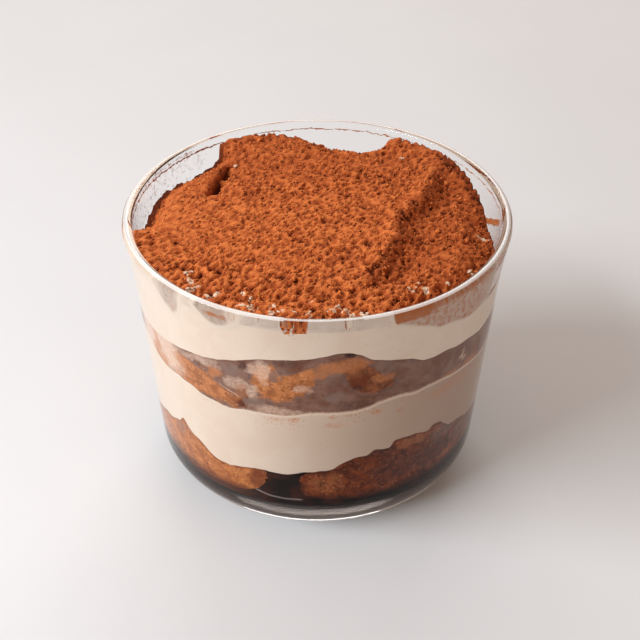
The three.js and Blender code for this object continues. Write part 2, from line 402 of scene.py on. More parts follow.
@dataclass(frozen=True)
class HillySurface:
    """The uneven surface between two layers."""

    level: float
    hills: tuple[Hill, ...]

    def height(self, x: Floats, y: Floats) -> Floats:
        """Height of the surface over places x and y."""
        total = np.full(np.shape(x), self.level)
        for hill in self.hills:
            away = np.abs(x - hill.x) if hill.y is None else np.hypot(x - hill.x, y - hill.y)
            total = total + hill.rise * bell(away / hill.half)
        return total


@dataclass(frozen=True)
class WallLine:
    """The line in which a layer's surface meets the glass."""

    marks: tuple[tuple[float, float], ...]
    surface: HillySurface | None = None
    ripple: float = 0.12
    lift: float = 0.0
    spacing: float = 10.0
    sides: tuple[float, float] = (66, 84)  # azimuths over which the front goes over into the back
    rounding: tuple[float, float] = (0.6, 7.0)  # reach in degrees of the round corners in front and behind
    ripple_radius: float = 40.0
    ripple_sizes: tuple[float, float] = (2.6, 1.1)

    def _filled(self) -> tuple[Floats, Floats]:
        """The marks, with the rest of the way round taken from the surface."""
        marks = list(self.marks)
        if self.surface is not None:
            first, last = marks[0][0] + 360, marks[-1][0]
            for azimuth in np.arange(last + self.spacing, first - self.spacing / 2, self.spacing):
                turn = math.radians(azimuth)
                r = float(CUP.inner(self.surface.level))
                z = self.surface.height(r * math.sin(turn), -r * math.cos(turn))
                marks.append((float(azimuth), float(z)))
        at, z = np.array(marks).T
        return at, z

    def at(self, azimuth: Floats) -> Floats:
        """Height of the line, with its corners rounded.

        Args:
            azimuth: azimuths round the glass.

        Returns:
            One height for each azimuth.
        """
        marks, heights = self._filled()
        behind = smooth(*self.sides, np.abs(turn_between(azimuth, 0)))
        reach = mix(*self.rounding, behind) if self.surface is not None else 0.0 * azimuth
        steps = (-1, -0.5, 0, 0.5, 1)
        z = np.mean([np.interp(azimuth + step * reach, marks, heights, period=360) for step in steps], axis=0)
        turn = np.radians(azimuth)
        round_wall = self.ripple_radius * np.stack([np.sin(turn), np.cos(turn), 0 * turn], 1)
        rough = Roughcast(11)
        long, short = self.ripple_sizes
        wobble = rough.waves(round_wall, long) + 0.6 * rough.waves(round_wall + 7, short)
        return z + self.lift + self.ripple * wobble

    def lifted(self, lift: float) -> "WallLine":
        """The same line, moved up."""
        return replace(self, lift=self.lift + lift)


BISCUIT_TOP = HillySurface(
    19,
    (
        Hill(-28, 7.5, 3.7),
        Hill(-21, 9.4, -1.7),
        Hill(10.6, 13.5, 5.2),
        Hill(22.9, 12.9, 6.8),
        Hill(-10, 20, 2.4, 24),
        Hill(23, 15, -2.6, 27),
    ),
)
CREAM_TOP = HillySurface(
    37.4,
    (
        Hill(-37.2, 5.3, 4.1),
        Hill(-18.2, 11.3, -1.8),
        Hill(16.4, 11.2, 2.3),
        Hill(26.7, 8.2, 1.8),
        Hill(4, 21, 1.5, 29),
        Hill(-25, 16, -1.2, 22),
    ),
)
STAINED_TOP = HillySurface(
    45.4,
    (
        Hill(-0.9, 35.8, 7.7),
        Hill(5.8, 7.5, 2.1),
        Hill(21.7, 28.9, 0.5),
        Hill(0, 22, -2.2, 27),
        Hill(20, 18, 2.2, 24),
    ),
)

BISCUIT_LINE = WallLine(
    (
        (-74, 18.4), (-65, 20.6), (-60, 20.8), (-54, 22.6), (-52, 24.5), (-49, 22), (-44, 20.6),
        (-39, 18.2), (-35, 17.4), (-31, 17.5), (-26, 18.3), (-21, 19.1), (-17, 18.9), (-10, 18.7),
        (-6, 19.7), (0, 20.1), (5, 20.8), (8, 22.4), (12, 23.6), (17, 24), (19.5, 25.1), (25, 24.4),
        (26, 26.4), (30, 26.4), (35, 26), (40, 25), (42, 26.1), (46, 25.7), (51, 22.6), (57, 21.9),
        (64, 19.9),
    ),
    BISCUIT_TOP,
    ripple=0.22,
)
CREAM_LINE = WallLine(
    (
        (-67, 39.9), (-62, 38.1), (-57, 37.3), (-51, 37.6), (-44, 37.2), (-40, 36.2), (-32, 35.7),
        (-29, 35.4), (-23, 36.4), (-10, 36.6), (-2, 37.8), (13, 37.8), (17, 38.6), (22, 39.5),
        (27, 39.7), (32, 39.1), (37, 39.4), (42, 39.3), (49, 38.8), (56, 38.3), (65, 37.2),
    ),
    CREAM_TOP,
)
STAINED_LINE = WallLine(
    (
        (-67, 45.4), (-61, 45.4), (-55, 45.8), (-47, 46.6), (-42, 47.1), (-37, 47.6), (-32, 48.4),
        (-29, 49.1), (-25, 49.9), (-21, 51), (-17, 51.8), (-9, 52.5), (-3, 53), (1, 53.6), (6, 54.7),
        (10, 54.5), (13, 53.5), (16, 52), (18.5, 51.3), (24, 50.3), (30, 49.2), (34, 47.5), (38, 47.2),
        (43, 47.3), (49, 46.6), (55, 46.2), (61, 45.3),
    ),
    STAINED_TOP,
)
COCOA_LINE = WallLine(
    (
        (-180, 58.4), (-178, 59), (-171, 60.6), (-164, 61.8), (-156, 62.4), (-151, 62.4), (-148.5, 62.4),
        (-144.6, 62.1), (-144.3, 60.4), (-143.8, 58.9), (-141.5, 57.6), (-132, 56.5), (-120, 57.3),
        (-115, 57.8), (-104, 56.5), (-98, 55.5), (-92, 56.5), (-85, 61), (-75, 62.2), (-65, 62),
        (-50, 61.7), (-30, 61.6), (-12, 62.3), (-7, 62.4), (0, 62.3), (15, 61.8), (22, 60.8), (30, 58.5),
        (35, 56.6), (40, 55.6), (50, 54.2), (60, 54.3), (75, 55), (86, 55.3), (90.5, 55), (98, 54.8),
        (102, 55.3), (105.5, 57.1), (113, 59), (120, 61), (130, 62.3), (140, 62.5), (151, 62.5),
        (154, 61.5), (156, 59.3), (160, 57.6), (163, 56.4), (172.5, 55.4), (175.5, 57.2),
    ),
    ripple=0.5,
)
CREAM_EDGE_LINE = WallLine(
    (
        (-180, 57.2), (-171, 59.4), (-164, 60.6), (-150, 61.4), (-144, 58.8), (-141, 56.7),
        (-132, 55.3), (-115, 56.6), (-104, 55.3), (-98, 54.3), (-92, 55.3), (-85, 59.8), (-76, 61.6),
        (-62, 62.5), (-57, 62.4), (-55.5, 60.8), (-53, 58.6), (-50, 56.6), (-48, 55.7), (-45.5, 56),
        (-43.5, 57.4), (-42.3, 60.5), (-41.5, 62.5), (-39.2, 62.6), (-38.2, 61.6), (-36, 60),
        (-34, 58.7), (-31, 58.1), (-28, 58.3), (-25, 59.2), (-22.5, 60.6), (-21.5, 62.5),
        (-17.2, 62.6), (-16.6, 61.8), (-16, 62.6), (-10.6, 62.7), (-10.2, 61.4), (-9, 59.8),
        (-7, 60.1), (-3, 60.3), (-2.5, 62.7), (7.4, 62.7), (8, 61.2), (9, 60.8), (9.7, 62.6),
        (20.3, 62.7), (21, 60.5), (22, 60), (27.3, 58.4), (33.2, 56.6), (37, 55), (41.4, 54.6),
        (49.3, 53.1), (54, 52.8), (60, 53.2), (75, 53.9), (93, 53.9), (98, 53.7), (102, 54.1),
        (106, 55.6), (113, 57.8), (120, 59.8), (130, 61.2), (140, 61.4), (151, 61.1), (155, 58.8),
        (160, 56.6), (165, 55), (172, 54.4), (175, 55.8),
    ),
    ripple=0.1,
)


class Sinking(Enum):
    """How far each food reaches into the glass's face; the one that reaches furthest is seen."""

    COFFEE = 0.015
    STAIN = 0.02
    LOWER_SPONGE = 0.03
    COCOA = 0.032
    UPPER_SPONGE = 0.036
    CREAM = 0.05
    DUST = 0.075


class Tint(Enum):
    """Stains that run on from one food to the next, with the colour each goes to."""

    PALE = (0.78, 0.55, 0.42)
    ASH = (0.25, 0.165, 0.135)
    BROWN = (0.56, 0.205, 0.075)
    RUST = (0.16, 0.034, 0.010)
    DARK = (0.050, 0.022, 0.018)


@dataclass(frozen=True)
class Blotch:
    """A soft stain against the glass, gone `across` and `up` millimetres from its middle."""

    tint: Tint
    azimuth: float
    z: float
    across: float
    up: float
    amount: float


# azimuth, height, half sizes across and up, and amount: the stained band's first, then the lower fingers'
STAINS: dict[Tint, tuple[tuple[float, float, float, float, float], ...]] = {
    Tint.PALE: (
        (-56, 42.5, 9, 9, 0.9), (-68, 42, 6, 8, 0.9), (-41, 46, 5, 1.6, 0.45),
        (-35, 46.8, 4.5, 2.4, 0.3), (-25.4, 43.4, 3.2, 2.8, 0.45), (-17, 48.2, 3.3, 4.5, 0.6),
        (-20.4, 42, 2, 3, 0.55), (-12.4, 37.8, 8, 1.7, 0.55), (-4.6, 44.7, 2.4, 1.9, 0.4),
        (52.6, 42.6, 1.2, 3, 0.5),
    ),
    Tint.ASH: (
        (-26.7, 47.2, 3, 2.4, 0.8), (-11.8, 47.8, 1.6, 2.2, 0.75), (-19, 39.1, 3.4, 1.8, 0.75),
        (4.3, 47, 3.2, 2, 0.35), (5.1, 42.4, 3.1, 1.9, 0.85), (21, 49.3, 3, 2.4, 0.6),
        (29, 48.2, 5, 1.4, 0.5), (-54, 21, 3, 3.6, 0.35), (48, 22.5, 6, 4, 0.4),
        (62, 19, 8, 6, 0.35),
    ),
    Tint.BROWN: (
        (-62, 40.5, 2.8, 7, 0.75), (-57.5, 38, 2.4, 3.4, 0.7), (-46.5, 43.2, 3.5, 2.2, 0.5),
        (-33.5, 44.4, 3.2, 2.4, 0.75), (-24.5, 41.5, 2.5, 2.5, 0.35), (-1, 48.6, 3, 2, 0.6),
        (4, 50.4, 5, 1.8, 0.75), (11, 51, 5, 2.2, 0.65), (20.5, 46, 3.6, 1.8, 0.5),
        (47, 39.5, 4, 0.9, 0.45), (58, 38.2, 4, 2.4, 0.6), (3, 16, 7, 5.5, 0.2),
        (34, 24, 7, 2.4, 0.3), (50, 13.8, 6, 1.2, 0.25),
    ),
    Tint.RUST: (
        (12.7, 46, 3.2, 3.2, 0.85), (-19, 15.5, 3.8, 6, 0.8), (27.2, 26.4, 1.3, 1.2, 0.9),
    ),
    Tint.DARK: (
        (-22, 48.8, 1.5, 2.6, 0.6), (-8.9, 51.6, 4, 1.8, 0.35), (12.9, 44.4, 1.2, 1.2, 0.6),
        (9.8, 53.9, 1.9, 1.3, 0.95), (11, 39.6, 6, 1.6, 0.4), (-57, 12, 9, 2, 0.4),
        (22, 23.8, 4.5, 1.8, 0.5), (27, 17.5, 8, 6, 0.4), (43, 17, 8, 6, 0.45),
    ),
}
BLOTCHES = tuple(Blotch(tint, *numbers) for tint, rows in STAINS.items() for numbers in rows)
DUSTINGS = tuple(
    Blotch(Tint.BROWN, *numbers)
    for numbers in (
        (-12.6, 35.4, 2.4, 0.9, 0.5), (-7.3, 35.6, 1.9, 1.0, 0.8), (5.9, 36.6, 1.6, 0.8, 0.7),
        (19.4, 36.7, 1.7, 0.9, 0.8), (28, 35, 1.1, 0.8, 0.7), (5.6, 34.4, 4, 1.2, 0.4),
        (49, 35.7, 11, 2.4, 0.5),
    )
)


def wall_tints(azimuth: Floats, z: Floats, blotches: Sequence[Blotch] = BLOTCHES) -> dict[str, Floats]:
    """How strongly each stain shows on the glass.

    Args:
        azimuth: azimuths of the places.
        z: their heights.
        blotches: the stains that are laid on.

    Returns:
        A number from 0 to 1 for each place, under each stain's name.
    """
    rough = Roughcast(14)
    place = on_wall(azimuth, 0 * z + WALL_ARC, z)
    stir_across = 1.5 * rough.waves(place, 3.4) + 0.8 * rough.waves(place + 9, 1.3)
    stir_up = 1.1 * rough.waves(place + 40, 3.4) + 0.6 * rough.waves(place + 70, 1.3)
    found = {tint.name.lower(): np.zeros(len(z)) for tint in Tint}
    for blotch in blotches:
        across = (np.radians(turn_between(azimuth, blotch.azimuth)) * WALL_ARC + stir_across) / blotch.across
        up = (z - blotch.z + stir_up * min(1, blotch.up / 2.5)) / blotch.up
        key = blotch.tint.name.lower()
        here = blotch.amount * (1 - smooth(0.35, 1, np.hypot(across, up)))
        found[key] = 1 - (1 - found[key]) * (1 - here)
    return found


def azimuth_of(points: Floats) -> Floats:
    """Azimuth of each point, in degrees."""
    return np.degrees(np.arctan2(points[:, 0], -points[:, 1]))


def on_wall(azimuth: Floats, radius: Floats, z: Floats) -> Floats:
    """Places at an azimuth, radius and height, one row each."""
    turn = np.radians(azimuth)
    return np.stack([radius * np.sin(turn), -radius * np.cos(turn), z], 1)


def near_wall(azimuth: Floats, z: Floats) -> Floats:
    """Places on the faces of food that touch the glass, near enough for its unevenness."""
    return on_wall(azimuth, 0 * z + FACE_RADIUS, z)


# ---- finishes ----


def feed(tree: Tree, entry: bpy.types.NodeSocket, value: Any) -> None:
    """Feeds a node's input with another socket, a number or a colour of three numbers.

    Args:
        tree: the tree that the node is in.
        entry: the node's input.
        value: the socket or the constant.
    """
    if isinstance(value, bpy.types.NodeSocket):
        tree.links.new(value, entry)
    else:
        entry.default_value = (*value, 1) if entry.type == "RGBA" else value


def add_node(
    tree: Tree, kind: str, values: dict[str | int, Any] | None = None, **settings: Any
) -> Any:
    """Adds a shader node.

    Args:
        tree: the tree to add to.
        kind: Blender's name of the node.
        values: for each input by name or number, a constant or a socket to link.
        **settings: the node's own settings.

    Returns:
        The node.
    """
    node = tree.nodes.new(kind)
    for key, value in settings.items():
        setattr(node, key, value)
    for key, value in (values or {}).items():
        feed(tree, node.inputs[key], value)
    return node


def blend_colours(tree: Tree, share: Any, near: Any, far: Any) -> Any:
    """A colour that goes from near at share 0 to far at share 1, as a socket."""
    return add_node(tree, "ShaderNodeMix", {0: share, 6: near, 7: far}, data_type="RGBA").outputs[2]


def ramp(tree: Tree, value: Any, low: float, high: float) -> Any:
    """A mask that goes smoothly from 0 at low to 1 at high, as a socket."""
    values = {"Value": value, "From Min": low, "From Max": high}
    return add_node(tree, "ShaderNodeMapRange", values, interpolation_type="SMOOTHSTEP").outputs["Result"]


def sums(tree: Tree, operation: str, a: Any, b: Any, clamp: bool = False) -> Any:
    """One sum of two numbers, as a socket."""
    return add_node(tree, "ShaderNodeMath", {0: a, 1: b}, operation=operation, use_clamp=clamp).outputs[0]


def times(tree: Tree, a: Any, b: Any, clamp: bool = False) -> Any:
    """The product of two numbers, as a socket."""
    return sums(tree, "MULTIPLY", a, b, clamp)


def plus(tree: Tree, a: Any, b: Any, clamp: bool = False) -> Any:
    """The total of two numbers, as a socket."""
    return sums(tree, "ADD", a, b, clamp)


def minus(tree: Tree, a: Any, b: Any) -> Any:
    """What is left of one number without another, as a socket."""
    return sums(tree, "SUBTRACT", a, b)


def reading(tree: Tree, name: str) -> Any:
    """The number that a piece keeps for each point under a name, as a socket."""
    return add_node(tree, "ShaderNodeAttribute", attribute_name=name).outputs["Fac"]


def per_metre(millimetres: float) -> float:
    """The scale at which a texture repeats every so many millimetres."""
    return 1 / (millimetres * MM)


class Effect(Enum):
    """Shader groups that several finishes share."""

    MOTTLE = "mottle"
    PORES = "pores"
    CRUMBLE = "crumble"


def new_group(
    effect: Effect, inputs: Sequence[tuple[str, str, Any]], outputs: Sequence[tuple[str, str]]
) -> tuple[Tree, Any, Any]:
    """Starts an effect's group with named inputs and outputs.

    Args:
        effect: which effect.
        inputs: name, socket type and usual value of each input.
        outputs: name and socket type of each output.

    Returns:
        The group, its input node and its output node.
    """
    tree = bpy.data.node_groups.new(effect.value, "ShaderNodeTree")
    for name, kind, usual in inputs:
        tree.interface.new_socket(name, in_out="INPUT", socket_type=kind).default_value = usual
    for name, kind in outputs:
        tree.interface.new_socket(name, in_out="OUTPUT", socket_type=kind)
    return tree, tree.nodes.new("NodeGroupInput"), tree.nodes.new("NodeGroupOutput")


def mottle_group() -> Tree:
    """Clouds of two colours in two sizes, as spread food has."""
    tree, given, made = new_group(
        Effect.MOTTLE,
        (
            ("Near", "NodeSocketColor", (1, 1, 1, 1)),
            ("Far", "NodeSocketColor", (0, 0, 0, 1)),
            ("Scale", "NodeSocketFloat", per_metre(5)),
            ("Balance", "NodeSocketFloat", 0.5),
        ),
        (("Color", "NodeSocketColor"), ("Mask", "NodeSocketFloat")),
    )
    place = add_node(tree, "ShaderNodeTexCoord").outputs["Object"]
    rough = {"Detail": 4.0, "Roughness": 0.6, "Distortion": 0.4}
    values = {"Vector": place, "Scale": given.outputs["Scale"]} | rough
    noise = add_node(tree, "ShaderNodeTexNoise", values).outputs["Fac"]
    shifted = minus(tree, noise, minus(tree, given.outputs["Balance"], 0.5))
    mask = ramp(tree, shifted, 0.36, 0.64)
    tree.links.new(mask, made.inputs["Mask"])
    colour = blend_colours(tree, mask, given.outputs["Near"], given.outputs["Far"])
    tree.links.new(colour, made.inputs["Color"])
    return tree


def pores_group() -> Tree:
    """Scattered holes or specks of uneven size."""
    tree, given, made = new_group(
        Effect.PORES,
        (
            ("Scale", "NodeSocketFloat", per_metre(1)),
            ("Share", "NodeSocketFloat", 0.5),
            ("Reach", "NodeSocketFloat", 0.35),
            ("Angle", "NodeSocketFloat", 0.0),
            ("Squeeze", "NodeSocketFloat", 1.0),
        ),
        (("Mask", "NodeSocketFloat"),),
    )
    scale, angle = given.outputs["Scale"], given.outputs["Angle"]
    level = add_node(tree, "ShaderNodeTexCoord").outputs["Object"]
    turning = {"Vector": level, "Angle": angle}
    turned = add_node(tree, "ShaderNodeVectorRotate", turning, rotation_type="Z_AXIS").outputs[0]
    squeeze = add_node(tree, "ShaderNodeCombineXYZ", {0: given.outputs["Squeeze"], 1: 1.0, 2: 1.0}).outputs[0]
    place = add_node(tree, "ShaderNodeVectorMath", {0: turned, 1: squeeze}, operation="MULTIPLY").outputs[0]
    stir = add_node(tree, "ShaderNodeTexNoise", {"Vector": place, "Scale": scale, "Detail": 2.0})
    push = {0: stir.outputs["Color"], "Scale": sums(tree, "DIVIDE", 0.9, scale)}
    pushed = add_node(tree, "ShaderNodeVectorMath", push, operation="SCALE").outputs[0]
    stirred = add_node(tree, "ShaderNodeVectorMath", {0: pushed, 1: place}, operation="ADD").outputs[0]
    cells = add_node(tree, "ShaderNodeTexVoronoi", {"Vector": stirred, "Scale": scale})
    draw = add_node(tree, "ShaderNodeSeparateColor", {0: cells.outputs["Color"]}).outputs[0]
    near = sums(tree, "DIVIDE", cells.outputs["Distance"], given.outputs["Reach"])
    hole = ramp(tree, near, 1.0, 0.45)
    chosen = sums(tree, "LESS_THAN", draw, given.outputs["Share"])
    tree.links.new(times(tree, hole, chosen), made.inputs["Mask"])
    return tree


def crumble_group() -> Tree:
    """Fine height for powder and sponge, in two sizes of grain."""
    tree, given, made = new_group(
        Effect.CRUMBLE,
        (("Scale", "NodeSocketFloat", per_metre(0.4)),),
        (("Height", "NodeSocketFloat"),),
    )
    scale = given.outputs["Scale"]
    place = add_node(tree, "ShaderNodeTexCoord").outputs["Object"]
    noise = {"Vector": place, "Scale": scale, "Detail": 3.0, "Roughness": 0.65}
    grain = add_node(tree, "ShaderNodeTexNoise", noise).outputs["Fac"]
    clods = add_node(tree, "ShaderNodeTexVoronoi", {"Vector": place, "Scale": scale}).outputs["Distance"]
    tree.links.new(minus(tree, grain, times(tree, clods, 0.5)), made.inputs["Height"])
    return tree


MAKERS: dict[Effect, Callable[[], Tree]] = {
    Effect.MOTTLE: mottle_group,
    Effect.PORES: pores_group,
    Effect.CRUMBLE: crumble_group,
}


def effect_node(tree: Tree, effect: Effect, values: dict[str, Any]) -> Any:
    """Places a shared effect in a material with its own values; the group is built only once."""
    group = bpy.data.node_groups.get(effect.value) or MAKERS[effect]()
    return add_node(tree, "ShaderNodeGroup", values, node_tree=group)


def clouds(tree: Tree, near: Any, far: Any, size: float, balance: float = 0.5) -> Any:
    """Clouds of two colours, about `size` millimetres across, as a colour's socket."""
    values = {"Near": near, "Far": far, "Scale": per_metre(size), "Balance": balance}
    return effect_node(tree, Effect.MOTTLE, values).outputs["Color"]


def cloud_mask(tree: Tree, size: float, balance: float = 0.5) -> Any:
    """The mask of clouds about `size` millimetres across, as a socket."""
    return effect_node(tree, Effect.MOTTLE, {"Scale": per_metre(size), "Balance": balance}).outputs["Mask"]


def pore_mask(tree: Tree, size: float, share: float, reach: float, **more: float) -> Any:
    """The mask of holes or specks about `size` millimetres apart, as a socket."""
    values = {"Scale": per_metre(size), "Share": share, "Reach": reach} | more
    return effect_node(tree, Effect.PORES, values).outputs["Mask"]


def grain_height(tree: Tree, size: float) -> Any:
    """The height of grains of `size` millimetres, as a socket."""
    return effect_node(tree, Effect.CRUMBLE, {"Scale": per_metre(size)}).outputs["Height"]


@dataclass(frozen=True)
class Finish:
    """A surface finish; each kind adds its own nodes in `dress`."""

    name: str
    roughness: float = 0.6
    shine: float = 0.0

    def material(self) -> bpy.types.Material:
        """The finish as a material, built once."""
        made = bpy.data.materials.get(self.name)
        if made is None:
            made = bpy.data.materials.new(self.name)
            made.use_nodes = True
            made.node_tree.nodes.clear()
            surface = self.dress(made.node_tree)
            add_node(made.node_tree, "ShaderNodeOutputMaterial", {"Surface": surface})
        return made

    def dress(self, tree: Tree) -> Any:
        """Builds the nodes and gives the shader's socket."""
        raise NotImplementedError

    def coat(self, tree: Tree, colour: Any, **more: Any) -> Any:
        """The finish's own shader in a colour, as a socket."""
        values = {"Base Color": colour, "Roughness": self.roughness, "Specular IOR Level": self.shine}
        return add_node(tree, "ShaderNodeBsdfPrincipled", values | more).outputs[0]

    def bump(self, tree: Tree, height: Any, distance: float, strength: float) -> Any:
        """A normal that follows a height of so many millimetres, as a socket."""
        values = {"Height": height, "Distance": distance * MM, "Strength": strength}
        return add_node(tree, "ShaderNodeBump", values).outputs["Normal"]

    def tinted(self, tree: Tree, colour: Any) -> Any:
        """A colour with the stains on the glass over it.

        Args:
            tree: the material's tree.
            colour: the colour's socket.

        Returns:
            The stained colour's socket.
        """
        grain = cloud_mask(tree, size=0.6)
        sway = times(tree, minus(tree, grain, 0.5), 0.3)
        for tint in Tint:
            stain = reading(tree, tint.name.lower())
            ragged = plus(tree, stain, sway, clamp=True)
            here = times(tree, ragged, ramp(tree, stain, 0.0, 0.2))
            colour = blend_colours(tree, here, colour, tint.value)
        return colour


@dataclass(frozen=True)
class ClearGlass(Finish):
    """Polished clear glass that lets lamps through to the food."""

    tint: Colour = (0.985, 0.992, 0.99)
    gloss: Colour = (0.12, 0.12, 0.12)
    roughness: float = 0.0
    clearness: float = 1.0
    ior: float = 1.5
    turns: float = 4.5

    def dress(self, tree: Tree) -> Any:
        """Builds the nodes.

        Args:
            tree: the material's tree.

        Returns:
            The shader's socket.
        """
        values = {
            "Base Color": self.tint,
            "Roughness": self.roughness,
            "IOR": self.ior,
            "Specular Tint": self.gloss,
            "Transmission Weight": self.clearness,
        }
        glass = add_node(tree, "ShaderNodeBsdfPrincipled", values).outputs[0]
        clear = add_node(tree, "ShaderNodeBsdfTransparent", {"Color": self.tint}).outputs[0]
        path = add_node(tree, "ShaderNodeLightPath")
        # light caught between the two faces of the wall gets out after a few turns
        caught = sums(tree, "GREATER_THAN", path.outputs["Ray Depth"], self.turns)
        lamplit = sums(tree, "MAXIMUM", path.outputs["Is Shadow Ray"], path.outputs["Is Diffuse Ray"])
        passing = sums(tree, "MAXIMUM", lamplit, caught)
        return add_node(tree, "ShaderNodeMixShader", {0: passing, 1: glass, 2: clear}).outputs[0]


@dataclass(frozen=True)
class Cream(Finish):
    """Soft whipped cream with faint clouds, tiny specks, a thin smear at its edge and a brown-grey painted
    shade on the lower layer's right side.
    """

    roughness: float = 0.55
    light: Colour = (0.82, 0.68, 0.56)
    deep: Colour = (0.79, 0.64, 0.515)
    smear: Colour = (0.69, 0.575, 0.49)
    # brown-grey colour of the painted shade on the lower cream's right side
    stain: Colour = (0.40, 0.27, 0.20)
    speck: Colour = (0.50, 0.22, 0.11)
    smudge: Colour = (0.56, 0.22, 0.10)
    speck_share: float = 0.10
    speck_strength: float = 0.28
    smudge_strength: float = 0.85

    def dress(self, tree: Tree) -> Any:
        """Builds the nodes.

        Args:
            tree: the material's tree.

        Returns:
            The shader's socket.
        """
        cloudy = clouds(tree, self.light, self.deep, size=9)
        # the attribute read here is that painted shade on the right side
        right_shaded = blend_colours(tree, reading(tree, "stain"), cloudy, self.stain)
        smeared = blend_colours(tree, reading(tree, "smear"), right_shaded, self.smear)
        specks = pore_mask(tree, size=1.3, share=self.speck_share, reach=0.22)
        crumbs = pore_mask(tree, size=0.9, share=0.42, reach=0.4)
        dusted = times(tree, crumbs, reading(tree, "dusted"))
        shown = sums(tree, "MAXIMUM", times(tree, specks, self.speck_strength), dusted)
        flour = cloud_mask(tree, size=0.7)
        smudge = times(tree, reading(tree, "brown"), plus(tree, flour, 0.2))
        smudged = blend_colours(tree, times(tree, smudge, self.smudge_strength), smeared, self.smudge)
        colour = blend_colours(tree, shown, smudged, self.speck)
        grain = grain_height(tree, size=1.2)
        return self.coat(tree, colour, Normal=self.bump(tree, grain, distance=0.04, strength=0.4))


@dataclass(frozen=True)
class StainedFilm(Finish):
    """Cream stained by coffee to a greyish mauve, in clouds, with browner and paler places."""

    roughness: float = 0.5
    mauve: Colour = (0.180, 0.075, 0.047)
    grey: Colour = (0.265, 0.145, 0.108)
    brown: Colour = (0.165, 0.062, 0.034)
    browned: float = 0.65
    pored: float = 0.3

    def dress(self, tree: Tree) -> Any:
        """Builds the nodes.

        Args:
            tree: the material's tree.

        Returns:
            The shader's socket.
        """
        cloudy = clouds(tree, self.mauve, self.grey, size=4.5)
        browner = cloud_mask(tree, size=2.2, balance=0.62)
        stained_and_shaded = blend_colours(tree, times(tree, browner, self.browned), cloudy, self.brown)
        pores = pore_mask(tree, size=0.8, share=0.35, reach=0.5)
        pored = blend_colours(tree, times(tree, pores, self.pored), stained_and_shaded, self.brown)
        return self.coat(tree, self.tinted(tree, pored))


@dataclass(frozen=True)
class Sponge(Finish):
    """Soaked sponge: warm crumb with small dark pores, veiled by stained cream at its edges."""

    crumb: Colour = (0.60, 0.225, 0.080)
    soaked: Colour = (0.37, 0.125, 0.042)
    pore: Colour = (0.13, 0.030, 0.010)
    bright: Colour = (0.74, 0.36, 0.17)
    veil: Colour = (0.185, 0.115, 0.098)
    wetness: float = 0.5
    brightened: float = 0.45
    pored: float = 0.6

    def dress(self, tree: Tree) -> Any:
        """Builds the nodes.

        Args:
            tree: the material's tree.

        Returns:
            The shader's socket.
        """
        cloudy = clouds(tree, self.soaked, self.crumb, size=2.2, balance=self.wetness)
        grainy = clouds(tree, self.soaked, cloudy, size=0.55, balance=0.36)
        bits = pore_mask(tree, size=0.75, share=0.3, reach=0.5)
        flecked = blend_colours(tree, times(tree, bits, self.brightened), grainy, self.bright)
        coarse = pore_mask(tree, size=1.3, share=0.35, reach=0.34)
        fine = pore_mask(tree, size=0.6, share=0.45, reach=0.45)
        holes = sums(tree, "MAXIMUM", coarse, times(tree, fine, 0.6))
        pored = blend_colours(tree, times(tree, holes, self.pored), flecked, self.pore)
        dark = blend_colours(tree, reading(tree, "soaked"), pored, self.pore)
        patchy = plus(tree, times(tree, cloud_mask(tree, size=1.6), 0.6), 0.6)
        veil = times(tree, reading(tree, "veil"), patchy, clamp=True)
        colour = self.tinted(tree, blend_colours(tree, veil, dark, self.veil))
        return self.coat(tree, colour, Normal=self.bump(tree, holes, distance=-0.1, strength=0.5))


@dataclass(frozen=True)
class Coffee(Finish):
    """Dark wet coffee with a pale painted highlight line, which mirrors light that runs along inside the
    glass it touches.
    """

    roughness: float = 0.2
    deep: Colour = (0.006, 0.002, 0.001)
    thin: Colour = (0.060, 0.012, 0.005)
    warm: Colour = (0.125, 0.044, 0.024)
    # pale colour of the painted highlight line in the gap between the lower fingers
    film: Colour = (0.42, 0.34, 0.32)
    mirrored: Colour = (0.25, 0.215, 0.20)
    mirror_roughness: float = 0.25
    bends: float = 0.89  # how much weaker it bends light than the glass does

    def dress(self, tree: Tree) -> Any:
        """Builds the nodes.

        Args:
            tree: the material's tree.

        Returns:
            The shader's socket.
        """
        cloudy = clouds(tree, self.deep, self.thin, size=5, balance=0.6)
        warmed = blend_colours(tree, reading(tree, "warm"), cloudy, self.warm)
        # the attribute read here marks the painted highlight line
        wet = self.coat(tree, blend_colours(tree, reading(tree, "film"), warmed, self.film))
        slant = add_node(tree, "ShaderNodeFresnel", {"IOR": self.bends}).outputs[0]
        values = {"Color": self.mirrored, "Roughness": self.mirror_roughness}
        mirror = add_node(tree, "ShaderNodeBsdfAnisotropic", values).outputs[0]
        return add_node(tree, "ShaderNodeMixShader", {0: slant, 1: wet, 2: mirror}).outputs[0]


